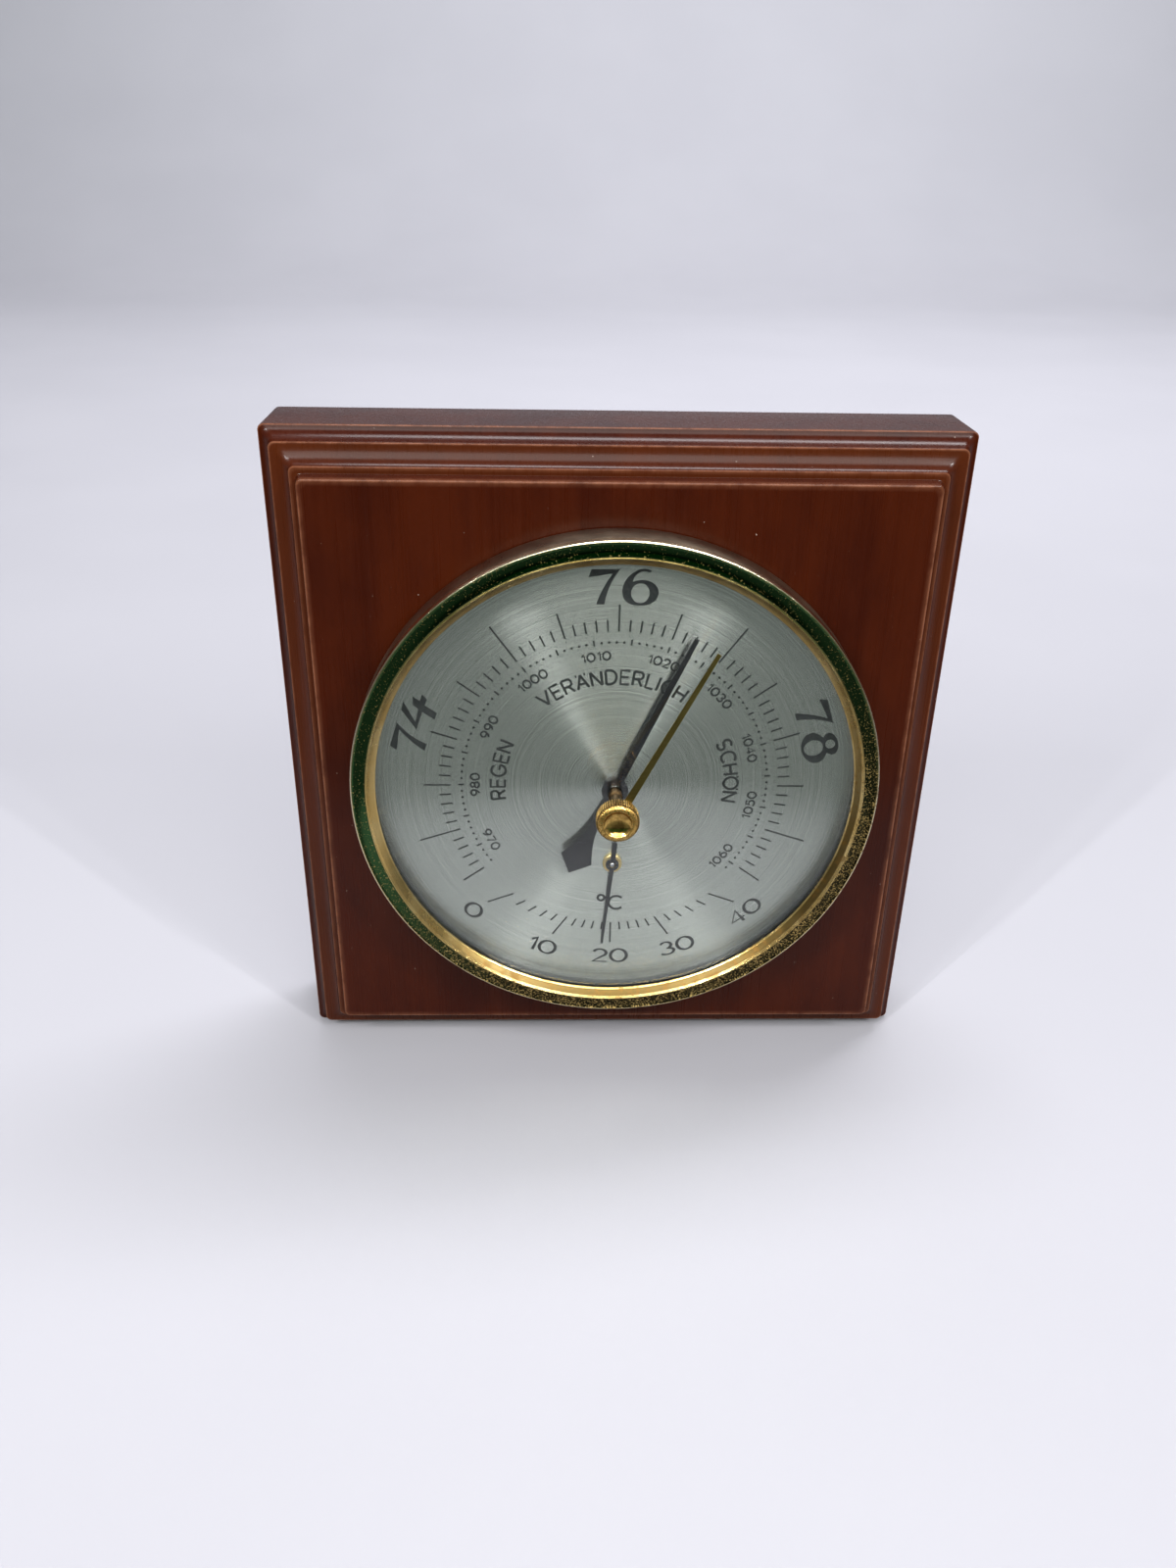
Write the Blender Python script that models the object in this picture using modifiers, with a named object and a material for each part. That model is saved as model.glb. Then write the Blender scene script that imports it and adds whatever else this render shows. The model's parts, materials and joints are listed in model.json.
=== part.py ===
"""Aneroid barometer with a bimetal thermometer, in a square wooden case with a routed edge.

Lengths below are in millimetres, and MM turns them into metres. Each piece is drawn in the
front view of the dial: x to the right, y up, both from the dial's axis, and h forward from the
back of the wooden case. The world has +X right, +Y backwards and +Z up, and its origin is on
the back of the case behind the middle notch of the wall hanger, HOOK_RISE above the dial's axis.
"""

import math

import bmesh
import bpy
from mathutils import Matrix

MM = 0.001

# Case
CASE_W, CASE_H = 130.0, 133.0
EDGE_DEPTH = 16.2
BLOCK_DEPTH = 25.0
COVE_1 = (2.37, 3.7)
COVE_2 = (3.7, 2.5)
FILLET_END = (7.35, 22.5)
PANEL_INSET = 7.7
CORNER_R = 1.1
BORE_R = 46.0
REBATE_R, REBATE_DEPTH = 50.0, 3.0
HOOK_RISE = 55.0

# Movement case, dial, glass and bezel
CAN_R, CAN_WALL = 45.5, 0.6
FLANGE_R, FLANGE_TOP = 49.9, 26.2
DIAL_BACK, DIAL_FRONT, DIAL_R = 26.5, 27.3, 49.5
SPACER_R, SPACER_TOP = 46.6, 29.75
GLASS_BACK, GLASS_FRONT, GLASS_R = 30.05, 31.25, 49.4
BEZEL_R, BEZEL_WALL = 50.86, 0.6
BEZEL_LIP_R, BEZEL_LIP_H = 46.15, 31.6

# Hands
POINTER_REST = 24.7
POINTER_TIP, POINTER_TAIL = 34.3, 21.1
POINTER_H = (28.75, 28.95)
SET_REST = 30.8
SET_TIP, SET_TIP_H = 35.15, 34.0
THERMO_Y = -17.9
THERMO_REST = 185.3
THERMO_TIP = 19.0

# Movement
PLATE_R = 31.0
CAPSULE_X, CAPSULE_R, CAPSULE_MID = 5.0, 17.0, 9.05
TEETH, SECTOR_TEETH, MODULE = 14, 112, 0.3
CENTRES = MODULE * (TEETH + SECTOR_TEETH) / 2.0
SECTOR_AT = (-CENTRES * math.sqrt(0.5), -CENTRES * math.sqrt(0.5))
CRANK = 2.2
SHAFT_Y, SHAFT_H = 4.2, 14.8
LINK_X, LINK_H = SECTOR_AT[0] - CRANK, 20.4
GAP = 0.3

FINISHES = {
    "wood": ((0.13, 0.035, 0.014), 0.0, 0.35),
    "brass": ((0.78, 0.56, 0.22), 1.0, 0.28),
    "steel": ((0.55, 0.55, 0.56), 1.0, 0.3),
    "dial": ((0.62, 0.64, 0.62), 1.0, 0.38),
    "black": ((0.012, 0.012, 0.013), 0.2, 0.35),
    "glass": ((0.9, 0.95, 0.94), 0.0, 0.03),
    "copper": ((0.72, 0.36, 0.2), 1.0, 0.35),
    "felt": ((0.05, 0.06, 0.05), 0.0, 0.95),
}


# Scene helpers


def clear_scene():
    for obj in list(bpy.data.objects):
        bpy.data.objects.remove(obj, do_unlink=True)


def new_collection(name):
    made = bpy.data.collections.new(name)
    bpy.context.scene.collection.children.link(made)
    return made


clear_scene()
PARTS = new_collection("aneroid_barometer")
CUTTERS = new_collection("cutters")
CUTTERS.hide_render = True
FRAME = bpy.data.objects.new("dial_axis", None)
FRAME.location = (0, 0, -HOOK_RISE * MM)
PARTS.objects.link(FRAME)

FRONT = Matrix(((1, 0, 0), (0, 0, -1), (0, 1, 0)))
SIDE = Matrix(((0, 0, 1), (0, -1, 0), (1, 0, 0)))
PLAN = Matrix(((1, 0, 0), (0, -1, 0), (0, 0, -1)))
ALONG_X = Matrix(((0, 0, 1), (0, 1, 0), (-1, 0, 0)))


def material(name, finish):
    colour, metallic, roughness = FINISHES[finish]
    made = bpy.data.materials.new(name)
    made.use_nodes = True
    node = made.node_tree.nodes["Principled BSDF"]
    node.inputs["Base Color"].default_value = (*colour, 1.0)
    node.inputs["Metallic"].default_value = metallic
    node.inputs["Roughness"].default_value = roughness
    if finish == "glass":
        node.inputs["Transmission Weight"].default_value = 1.0
    return made


def add(name, data, finish, at=(0.0, 0.0, 0.0), turn=0.0, view=FRONT):
    """Puts a piece in the model. at is (x, y, h), and turn is clockwise as seen from the front."""
    obj = bpy.data.objects.new(name, data)
    spin = Matrix.Rotation(math.radians(turn), 3, "Y")
    obj.rotation_euler = (spin @ view).to_euler()
    obj.location = (at[0] * MM, -at[2] * MM, at[1] * MM)
    obj.parent = FRAME
    if finish is None:
        CUTTERS.objects.link(obj)
        obj.hide_render = True
        obj.display_type = "WIRE"
    else:
        PARTS.objects.link(obj)
        data.materials.append(material(name, finish))
    return obj


def mesh_of(name, bm, angle=35.0):
    bmesh.ops.recalc_face_normals(bm, faces=bm.faces[:])
    mesh = bpy.data.meshes.new(name)
    bm.to_mesh(mesh)
    bm.free()
    mesh.shade_smooth()
    mesh.set_sharp_from_angle(angle=math.radians(angle))
    return mesh


def turned(name, finish, profile, at=(0.0, 0.0, 0.0), steps=32, ring=False, turn=0.0, view=FRONT):
    """A turned piece. The profile is (radius, height) pairs from the front to the back."""
    mesh = bpy.data.meshes.new(name)
    count = len(profile)
    edges = [(i, i + 1) for i in range(count - 1)] + ([(count - 1, 0)] if ring else [])
    mesh.from_pydata([(r * MM, 0.0, h * MM) for r, h in profile], edges, [])
    obj = add(name, mesh, finish, at, turn, view)
    screw = obj.modifiers.new("turn", "SCREW")
    screw.steps = screw.render_steps = steps
    screw.use_merge_vertices = True
    screw.merge_threshold = 0.00001
    return obj


def washer(inner, outer, low, high):
    """The profile of a flat ring."""
    return [(inner, high), (outer, high), (outer, low), (inner, low)]


def rod(radius, low, high, edge=0.0):
    """The profile of a plain round bar, with a small chamfer at both ends."""
    if not edge:
        return [(0.0, high), (radius, high), (radius, low), (0.0, low)]
    r = radius - edge
    body = [(radius, high - edge), (radius, low + edge)]
    return [(0.0, high), (r, high), *body, (r, low), (0.0, low)]


def circle(x, y, radius, steps=24):
    turns = [math.tau * i / steps for i in range(steps)]
    return [(x + radius * math.cos(a), y + radius * math.sin(a)) for a in turns]


def arc(x, y, radius, start, end, steps):
    turns = [math.radians(start + (end - start) * i / steps) for i in range(steps + 1)]
    return [(x + radius * math.cos(a), y + radius * math.sin(a)) for a in turns]


def plate(name, finish, outlines, low, high, at=(0.0, 0.0), turn=0.0, view=FRONT):
    """A flat piece between two heights. The first outline is its edge and the others are holes."""
    curve = bpy.data.curves.new(name, "CURVE")
    curve.dimensions = "2D"
    curve.fill_mode = "BOTH"
    curve.extrude = (high - low) / 2.0 * MM
    for outline in outlines:
        spline = curve.splines.new("POLY")
        spline.points.add(len(outline) - 1)
        spline.use_cyclic_u = True
        for point, (x, y) in zip(spline.points, outline):
            point.co = (x * MM, y * MM, 0.0, 1.0)
    middle = (high + low) / 2.0
    place = {id(FRONT): (at[0], at[1], middle), id(SIDE): (middle, at[0], at[1])}
    return add(name, curve, finish, place[id(view)], turn, view)


def wire(name, finish, points, radius, at=(0.0, 0.0, 0.0), turn=0.0, resolution=0):
    curve = bpy.data.curves.new(name, "CURVE")
    curve.dimensions = "3D"
    curve.bevel_depth = radius * MM
    curve.bevel_resolution = resolution
    curve.use_fill_caps = True
    spline = curve.splines.new("POLY")
    spline.points.add(len(points) - 1)
    for point, (x, y, h) in zip(spline.points, points):
        point.co = (x * MM, y * MM, h * MM, 1.0)
    return add(name, curve, finish, at, turn)


def as_mesh(obj):
    """The same piece as a mesh with welded caps, ready for a Boolean."""
    bpy.context.view_layer.update()
    graph = bpy.context.evaluated_depsgraph_get()
    mesh = bpy.data.meshes.new_from_object(obj.evaluated_get(graph))
    bm = bmesh.new()
    bm.from_mesh(mesh)
    bmesh.ops.remove_doubles(bm, verts=bm.verts[:], dist=0.000001)
    bm.to_mesh(mesh)
    bm.free()
    name, where, collection = obj.name, obj.matrix_world.copy(), obj.users_collection[0]
    bpy.data.objects.remove(obj, do_unlink=True)
    made = bpy.data.objects.new(name, mesh)
    made.parent = FRAME
    made.matrix_parent_inverse = FRAME.matrix_world.inverted()
    made.matrix_world = where
    collection.objects.link(made)
    if collection == CUTTERS:
        made.hide_render = True
        made.display_type = "WIRE"
    return made


def combine(obj, other, operation):
    step = obj.modifiers.new(other.name, "BOOLEAN")
    step.operation = operation
    step.solver = "EXACT"
    step.object = other
    return obj


def drill(obj, x, y, radius, low, high, steps=24):
    """Cuts a round hole along the dial's axis direction."""
    name = f"{obj.name}_hole_{len(obj.modifiers)}"
    return combine(obj, turned(name, None, rod(radius, low, high), (x, y, 0), steps), "DIFFERENCE")


def box(name, finish, size, at, turn=0.0):
    bm = bmesh.new()
    bmesh.ops.create_cube(bm, size=MM)
    bmesh.ops.scale(bm, vec=size, verts=bm.verts[:])
    return add(name, mesh_of(name, bm), finish, at, turn)


def slotted_screw(name, at, head_r, head, shank_r, tip, turn=0.0, finish="brass"):
    """A slotted screw. head holds the heights of its outer and inner face, and tip its end."""
    outer, inner = head
    sign = 1.0 if outer > inner else -1.0
    profile = [
        (0.0, outer),
        (head_r * 0.8, outer),
        (head_r, outer - sign * abs(outer - inner) * 0.4),
        (head_r, inner),
        (shank_r, inner),
        (shank_r, tip + sign * shank_r * 0.5),
        (shank_r * 0.5, tip),
        (0.0, tip),
    ]
    screw = turned(name, finish, profile if sign > 0 else profile[::-1], at, 12)
    slot_at = (at[0], at[1], at[2] + outer)
    slot = box(name + "_slot", None, (head_r * 2.4, head_r * 0.34, abs(outer - inner)), slot_at, turn)
    return combine(screw, slot, "DIFFERENCE")


# Wooden case and its back


def case_outline(inset):
    """A rectangle with slightly rounded corners, inset evenly from the case's outer size."""
    half_w, half_h = CASE_W / 2.0 - inset - CORNER_R, CASE_H / 2.0 - inset - CORNER_R
    points = []
    for start, sx, sy in ((0, 1, 1), (90, -1, 1), (180, -1, -1), (270, 1, -1)):
        points += arc(sx * half_w, sy * half_h, CORNER_R, start, start + 90, 2)
    return points


def case_levels():
    """(inset, h) pairs up the routed edge: two coves, a fillet and the raised panel."""
    levels = [(0.5, 0.0), (0.15, 0.15), (0.0, 0.5), (0.0, EDGE_DEPTH)]
    inset, top = 0.0, EDGE_DEPTH
    for width, rise in (COVE_1, COVE_2):
        for i in range(1, 5):
            a = math.radians(22.5 * i)
            levels.append((inset + width * math.sin(a), top + rise * (1.0 - math.cos(a))))
        inset, top = inset + width, top + rise
    return levels + [FILLET_END, (PANEL_INSET, BLOCK_DEPTH - 0.15), (PANEL_INSET + 0.15, BLOCK_DEPTH)]


def build_case():
    bm = bmesh.new()
    rings = []
    for inset, h in case_levels():
        rings.append([bm.verts.new((x * MM, y * MM, h * MM)) for x, y in case_outline(inset)])
    for low, high in zip(rings, rings[1:]):
        for i in range(len(low)):
            j = (i + 1) % len(low)
            bm.faces.new((low[i], low[j], high[j], high[i]))
    bm.faces.new(rings[0][::-1])
    bm.faces.new(rings[-1])
    case = add("case_block", mesh_of("case_block", bm, 25.0), "wood")
    drill(case, 0, 0, BORE_R, -1, BLOCK_DEPTH + 1, 56)
    drill(case, 0, 0, REBATE_R, -1, REBATE_DEPTH, 56)
    for x, y in CLIP_SCREWS:
        drill(case, x, y, 1.2, 1, 9.6, 12)
    for x in (-16.0, 16.0):
        drill(case, x, 54.0, 1.3, -1, 8.6, 12)


CLIP_ANGLES = (35.0, 155.0, 275.0)
CLIP_SCREWS = [
    (48.0 * math.cos(math.radians(a)), 48.0 * math.sin(math.radians(a))) for a in CLIP_ANGLES
]


def build_clips():
    """Three flat clips that hold the movement's can in the bore from behind."""
    for i, angle in enumerate(CLIP_ANGLES, 1):
        outline = [(41.2, -2.6), (41.8, -3.2), *arc(46.5, 0.0, 3.2, -90, 90, 10), (41.8, 3.2), (41.2, 2.6)]
        clip = f"can_clip_{i}"
        plate(clip, "brass", [outline, circle(48.0, 0.0, 1.2, 12)], 1.9, 2.7, turn=-angle)
        x, y = CLIP_SCREWS[i - 1]
        slotted_screw(f"clip_screw_{i}", (x, y, 0), 1.75, (0.6, 1.6), 0.9, 9.0, turn=20 * i)


def build_hanger():
    """A sawtooth hanger: a strip with raised middle and teeth along its lower edge."""
    outer = [(20, -0.3), (20, -1.1), (12, -1.1), (10.6, -2.1), (-10.6, -2.1), (-12, -1.1), (-20, -1.1)]
    inner = [(-20, -0.3), (-11.6, -0.3), (-10.2, -1.3), (10.2, -1.3), (11.6, -0.3)]
    curve = bpy.data.curves.new("hanger_strip", "CURVE")
    curve.dimensions = "2D"
    curve.fill_mode = "BOTH"
    curve.extrude = 4.0 * MM
    spline = curve.splines.new("POLY")
    spline.points.add(len(outer + inner) - 1)
    spline.use_cyclic_u = True
    for point, (x, h) in zip(spline.points, outer + inner):
        point.co = (x * MM, h * MM, 0.0, 1.0)
    strip = as_mesh(add("hanger_strip", curve, "steel", (0, 54.0, 0), view=PLAN))
    for i in range(-3, 4):
        tooth = turned(f"hanger_notch_{i + 4}", None, rod(1.3, -3, 0), (i * 2.6, 49.4, 0), 4)
        combine(strip, tooth, "DIFFERENCE")
    for i, x in enumerate((-16.0, 16.0), 1):
        drill(strip, x, 54.0, 1.3, -3, 1, 12)
        slotted_screw(f"hanger_screw_{i}", (x, 54.0, 0), 2.2, (-2.4, -1.4), 1.0, 8.0, turn=50 * i)


def build_bumpers():
    for i, x in enumerate((-54.0, 54.0), 1):
        turned(f"felt_bumper_{i}", "felt", rod(5.0, -2.6, -0.3, 0.3), (x, -55.0, 0), 16)


# Can, bezel, glass and dial


def build_can():
    inner = CAN_R - CAN_WALL
    floor = REBATE_DEPTH
    profile = [
        (inner, FLANGE_TOP),
        (FLANGE_R, FLANGE_TOP),
        (FLANGE_R, BLOCK_DEPTH + GAP),
        (CAN_R, BLOCK_DEPTH + GAP),
        (CAN_R, floor + 0.8),
        (CAN_R - 0.8, floor),
        (0.0, floor),
        (0.0, floor + CAN_WALL),
        (inner - 0.6, floor + CAN_WALL),
        (inner, floor + CAN_WALL + 0.6),
    ]
    profile = profile[7:] + profile[:7]
    can = turned("movement_can", "steel", profile, steps=48)
    drill(can, CAPSULE_X, 0.0, 3.4, 1, 5, 20)
    for x, y in BASE_SCREWS:
        drill(can, x, y, 1.3, 1, 5, 12)
    for angle in (20, 90, 140, 220, 320):
        x, y = 36.0 * math.cos(math.radians(angle)), 36.0 * math.sin(math.radians(angle))
        drill(can, x, y, 2.0, 1, 5, 14)


BASE_SCREWS = [
    (24.0 * math.cos(math.radians(a)), 24.0 * math.sin(math.radians(a))) for a in (60, 180, 300)
]


def build_bezel():
    inner = BEZEL_R - BEZEL_WALL
    outer = [
        (BEZEL_LIP_R, BEZEL_LIP_H + 0.15),
        (47.6, 33.46),
        (49.2, 33.12),
        (50.4, 33.24),
        (BEZEL_R, 32.8),
        (BEZEL_R, BLOCK_DEPTH + GAP),
    ]
    under = [
        (inner, BLOCK_DEPTH + GAP),
        (inner, 32.6),
        (48.0, 32.6),
        (46.9, 31.55),
        (BEZEL_LIP_R + 0.1, BEZEL_LIP_H - 0.02),
    ]
    turned("bezel", "brass", outer + under, steps=60, ring=True)


def build_glass_and_dial():
    profile = washer(1.5, GLASS_R, GLASS_BACK, GLASS_FRONT)
    turned("cover_glass", "glass", profile, steps=56, ring=True)
    profile = washer(SPACER_R, GLASS_R, DIAL_FRONT + GAP, SPACER_TOP)
    turned("glass_spacer", "black", profile, steps=56, ring=True)
    outlines = [circle(0, 0, DIAL_R, 56), circle(0, 0, 1.6, 20), circle(0, THERMO_Y, 2.0, 20)]
    plate("dial_plate", "dial", outlines, DIAL_BACK, DIAL_FRONT)


# Movement frame


def build_base():
    outlines = [circle(0, 0, PLATE_R, 36), circle(CAPSULE_X, 0, 2.3, 16)]
    outlines += [circle(x, y, 1.3, 12) for x, y in BASE_SCREWS]
    for angle in (105, 255):
        a = math.radians(angle)
        outlines.append(circle(23.5 * math.cos(a), 23.5 * math.sin(a), 3.0, 16))
    plate("base_plate", "brass", outlines, 3.9, 5.4)
    for i, (x, y) in enumerate(BASE_SCREWS, 1):
        slotted_screw(f"base_screw_{i}", (x, y, 0), 2.2, (1.5, 2.7), 1.0, 5.2, turn=35 * i)
    profile = [(0, 6.2), (1.6, 6.2), (2.0, 5.8), (2.0, 3.2), (3.0, 3.2), (3.0, 1.6), (2.8, 1.4), (0, 1.4)]
    screw = turned("adjust_screw", "brass", profile, (CAPSULE_X, 0, 0), 16)
    slot = box("adjust_slot", None, (7.0, 0.9, 1.4), (CAPSULE_X, 0, 1.4), 25)
    combine(screw, slot, "DIFFERENCE")


PILLARS = [(28.0 * math.cos(math.radians(a)), 28.0 * math.sin(math.radians(a))) for a in (0, 120, 240)]
FRONT_PLATE = (24.0, 24.8)
MID_PLATE = (18.6, 19.4)


def build_pillars():
    for i, (x, y) in enumerate(PILLARS, 1):
        profile = [(1.2, 23.7), (1.9, 23.7), (1.9, 21.0), (1.5, 20.4), (1.5, 9.0), (1.9, 8.4), (1.9, 5.7)]
        profile = [(0.0, 20.4), (1.2, 20.4), *profile, (0.0, 5.7)]
        turned(f"pillar_{i}", "brass", profile, (x, y, 0), 12)
        slotted_screw(f"pillar_screw_{i}", (x, y, 0), 2.0, (25.9, 25.1), 0.9, 20.9, turn=40 * i, finish="steel")


def build_front_plate():
    sx, sy = SECTOR_AT
    holes = [circle(0, 0, 0.9, 16), circle(sx, sy, 0.9, 16), circle(0, -20.0, 8.0, 24)]
    holes += [circle(x, y, 1.2, 12) for x, y in PILLARS]
    holes += [circle(13.0, 15.0, 5.0, 18), circle(-13.0, 8.0, 5.0, 18), circle(18.0, -9.0, 3.5, 14)]
    plate("front_plate", "brass", [circle(0, 0, PLATE_R, 36), *holes], *FRONT_PLATE)


def build_mid_plate():
    """A narrow bridge behind the gears that carries the rear pivots, hung from the front plate."""
    sx, sy = SECTOR_AT
    ends = ((6.5, 6.5), (-20.0, -20.0))
    outline = arc(*ends[0], 3.4, -45, 135, 8) + arc(*ends[1], 3.4, 135, 315, 8)
    holes = [circle(0, 0, 0.9, 16), circle(sx, sy, 0.9, 16)]
    plate("bridge_plate", "brass", [outline, *holes], *MID_PLATE)
    for i, (x, y) in enumerate(ends, 1):
        turned(f"bridge_pillar_{i}", "brass", rod(1.4, MID_PLATE[1] + GAP, FRONT_PLATE[0] - GAP, 0.2), (x, y, 0), 12)


# Capsule and levers


def capsule_curve(r):
    """Height of the corrugated diaphragm above the boss's outer face."""
    if r < 3.4:
        return 0.8
    return 0.8 + 0.22 * (1.0 - math.cos(math.tau * (r - 3.4) / 3.0)) + 0.6 * (r - 3.4) / 13.6


def capsule_half():
    radii = [3.4 + 1.5 * i for i in range(9)]
    front = [(0.0, 1.1), (3.4, 1.1)] + [(r, capsule_curve(r) + 0.3) for r in radii[1:]]
    front = [(r, h) for r, h in front if r < 15.0] + [(15.4, 2.1), (16.0, 2.4), (CAPSULE_R, 2.4)]
    back = [(CAPSULE_R, 2.1), (16.15, 2.1), (15.55, 1.8)]
    back += [(r, capsule_curve(r)) for r in radii[::-1] if r < 15.0]
    return front + back + [(3.2, 0.0), (0.0, 0.0)]


def build_capsule():
    at = (CAPSULE_X, 0, 0)
    low = CAPSULE_MID - 0.15 - 2.4
    high = CAPSULE_MID + 0.15 + 2.4
    half = capsule_half()
    turned("capsule_lower", "copper", [(r, low + h) for r, h in half], at, 24)
    turned("capsule_upper", "copper", [(r, high - h) for r, h in half[::-1]], at, 24)
    top = high + GAP
    tip = SHAFT_H - 1.3 - GAP
    profile = [(0, tip), (0.7, tip - 0.1), (1.2, tip - 0.5), (1.2, top + 0.5), (2.4, top + 0.5), (2.4, top)]
    turned("capsule_post", "steel", [*profile, (0, top)], at, 16)


def build_rocker():
    at = (0.0, SHAFT_Y, SHAFT_H)
    shaft = rod(0.8, -21.5, 26.0, 0.2)
    turned("rocker_shaft", "steel", shaft, at, 16, view=ALONG_X)
    eye = circle(0, 0, 1.1, 16)
    leg = [(-1.5, 0.0), (-5.6, -0.2), (-5.6, -1.3), (-1.2, -1.3)]
    outline = leg + arc(0, 0, 1.8, -105, 165, 14)
    x = CAPSULE_X
    plate("drive_arm", "steel", [outline, eye], x - 0.75, x + 0.75, (SHAFT_Y, SHAFT_H), view=SIDE)
    reach = LINK_H - SHAFT_H
    outline = arc(0, 0, 1.8, 150, 390, 14) + [(1.1, reach)]
    outline += arc(0, reach, 1.1, 0, 180, 8)[1:]
    x = LINK_X - 1.2
    holes = [eye, circle(0, reach, 0.7, 12)]
    plate("lift_arm", "steel", [outline, *holes], x - 0.4, x + 0.4, (SHAFT_Y, SHAFT_H), view=SIDE)
    pin = rod(0.4, LINK_X - 2.0, LINK_X + 0.6)
    turned("lift_pin", "steel", pin, (0, SHAFT_Y, LINK_H), 12, view=ALONG_X)


def build_brackets():
    for i, x in enumerate((-19.5, 24.2), 1):
        foot = 5.7 - SHAFT_H
        outline = [(-2.6, foot), (2.6, foot), *arc(0, 0, 2.2, 0, 180, 10)]
        name = f"rocker_bracket_{i}"
        eye = circle(0, 0, 0.88, 16)
        plate(name, "brass", [outline, eye], x - 0.6, x + 0.6, (SHAFT_Y, SHAFT_H), view=SIDE)


def eye_ring(name, at, view=FRONT):
    """A round wire eye."""
    profile = [(0.95 + 0.3 * math.cos(a), 0.3 * math.sin(a)) for a in [math.tau * i / 8 for i in range(8)]]
    return turned(name, None, profile[::-1], at, 14, ring=True, view=view)


def build_link():
    """A rod with two eyes at right angles, between the lift arm and the sector's crank."""
    low, high = SECTOR_AT[1], SHAFT_Y
    bm = bmesh.new()
    length = (high - low - 1.5) * MM
    bmesh.ops.create_cone(bm, cap_ends=True, segments=10, radius1=0.35 * MM, radius2=0.35 * MM, depth=length)
    spin = Matrix.Rotation(math.pi / 2, 3, "X")
    bmesh.ops.rotate(bm, cent=(0, 0, 0), matrix=spin, verts=bm.verts[:])
    link = add("link_rod", mesh_of("link_rod", bm), "steel", (LINK_X, (low + high) / 2.0, LINK_H))
    combine(link, eye_ring("link_eye_low", (LINK_X, low, LINK_H)), "UNION")
    combine(link, eye_ring("link_eye_high", (LINK_X, high, LINK_H), ALONG_X), "UNION")


# Gears and springs


def tooth(angle, pitch_r, outward=1.0):
    """One tooth with a narrow tip, as four points around its centre angle in radians."""
    root, tip = pitch_r - 0.38, pitch_r + 0.27
    points = []
    for r, half in ((root, 0.2), (pitch_r, 0.15), (tip, 0.05)):
        points.append((r, -half / r))
    points += [(r, -a) for r, a in points[::-1]]
    return [(r * math.cos(angle + a), r * math.sin(angle + a)) for r, a in points]


def build_pinion():
    step = math.tau / TEETH
    towards_sector = math.radians(225.0)
    outline = []
    for k in range(TEETH):
        outline += tooth(towards_sector + (k + 0.5) * step, MODULE * TEETH / 2.0)
    outlines = [outline, circle(0, 0, 0.9, 16)]
    plate("pinion", "brass", outlines, 20.9, 22.6, turn=POINTER_REST)
    profile = rod(0.6, 18.3, 28.9, 0.15)
    turned("pointer_arbor", "steel", profile, steps=16)


def build_sector():
    step = math.tau / SECTOR_TEETH
    middle = math.radians(45.0)
    pitch_r = MODULE * SECTOR_TEETH / 2.0
    outline = []
    for k in range(-7, 8):
        outline += tooth(middle + k * step, pitch_r)
    outline += arc(0, 0, 3.5, 45 + 55, 45 + 305, 20)
    window = arc(0, 0, 14.2, 45 - 14, 45 + 14, 8) + arc(0, 0, 6.0, 45 + 9, 45 - 9, 4)
    rest = POINTER_REST / 8.0
    crank = math.radians(180.0 - rest)
    pin = (CRANK * math.cos(crank), CRANK * math.sin(crank))
    outlines = [outline, circle(0, 0, 0.9, 16), window, circle(*pin, 0.7, 12)]
    plate("toothed_sector", "brass", outlines, 21.2, 22.0, SECTOR_AT, turn=-rest)
    profile = rod(0.6, 18.3, 25.1, 0.15)
    turned("sector_arbor", "steel", profile, (*SECTOR_AT, 0), 16)
    turned("crank_pin", "steel", rod(0.4, 19.7, 22.2), (LINK_X, SECTOR_AT[1], 0), 12)


def spiral(inner, outer, turns, h, start=0.0, per_turn=18):
    count = int(turns * per_turn)
    points = []
    for i in range(count + 1):
        a = math.radians(start) + math.tau * turns * i / count
        r = inner + (outer - inner) * i / count
        points.append((r * math.cos(a), r * math.sin(a), h))
    return points


def build_springs():
    wire("hairspring", "steel", spiral(1.5, 5.0, 3.5, 23.3, 135 - 3.5 * 360, 14), 0.12)
    x, y = 5.75 * math.cos(math.radians(135)), 5.75 * math.sin(math.radians(135))
    turned("hairspring_stud", "brass", rod(0.45, 22.9, 23.7), (x, y, 0), 12)
    wire("bimetal_coil", "copper", spiral(1.2, 4.4, 2.5, 24.2, 0.0, 14), 0.3, (0, THERMO_Y, 0))


# Hands


def build_pointer():
    hub = [(0.9, 29.1), (1.2, 29.1), (1.2, 28.45), (2.45, 28.45), (2.55, 28.3), (2.55, 27.6), (0.9, 27.6)]
    turned("pointer_hub", "black", hub, steps=20, ring=True)
    end = 17.6
    tail = []
    for i in range(9):
        s = 7.0 + (end - 7.0) * i / 8.0
        tail.append((0.7 + 2.7 * ((s - 7.0) / (end - 7.0)) ** 2.0, -s))
    right = [(0.45, POINTER_TIP), (0.8, 2.4)]
    ring = arc(0, 0, 2.5, 70, -70, 8)
    side = right[:1] + ring + tail
    outline = side + [(0.0, -POINTER_TAIL)] + [(-x, y) for x, y in side[::-1]]
    outlines = [outline, circle(0, 0, 1.5, 20)]
    plate("pressure_pointer", "black", outlines, *POINTER_H, turn=POINTER_REST)


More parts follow.
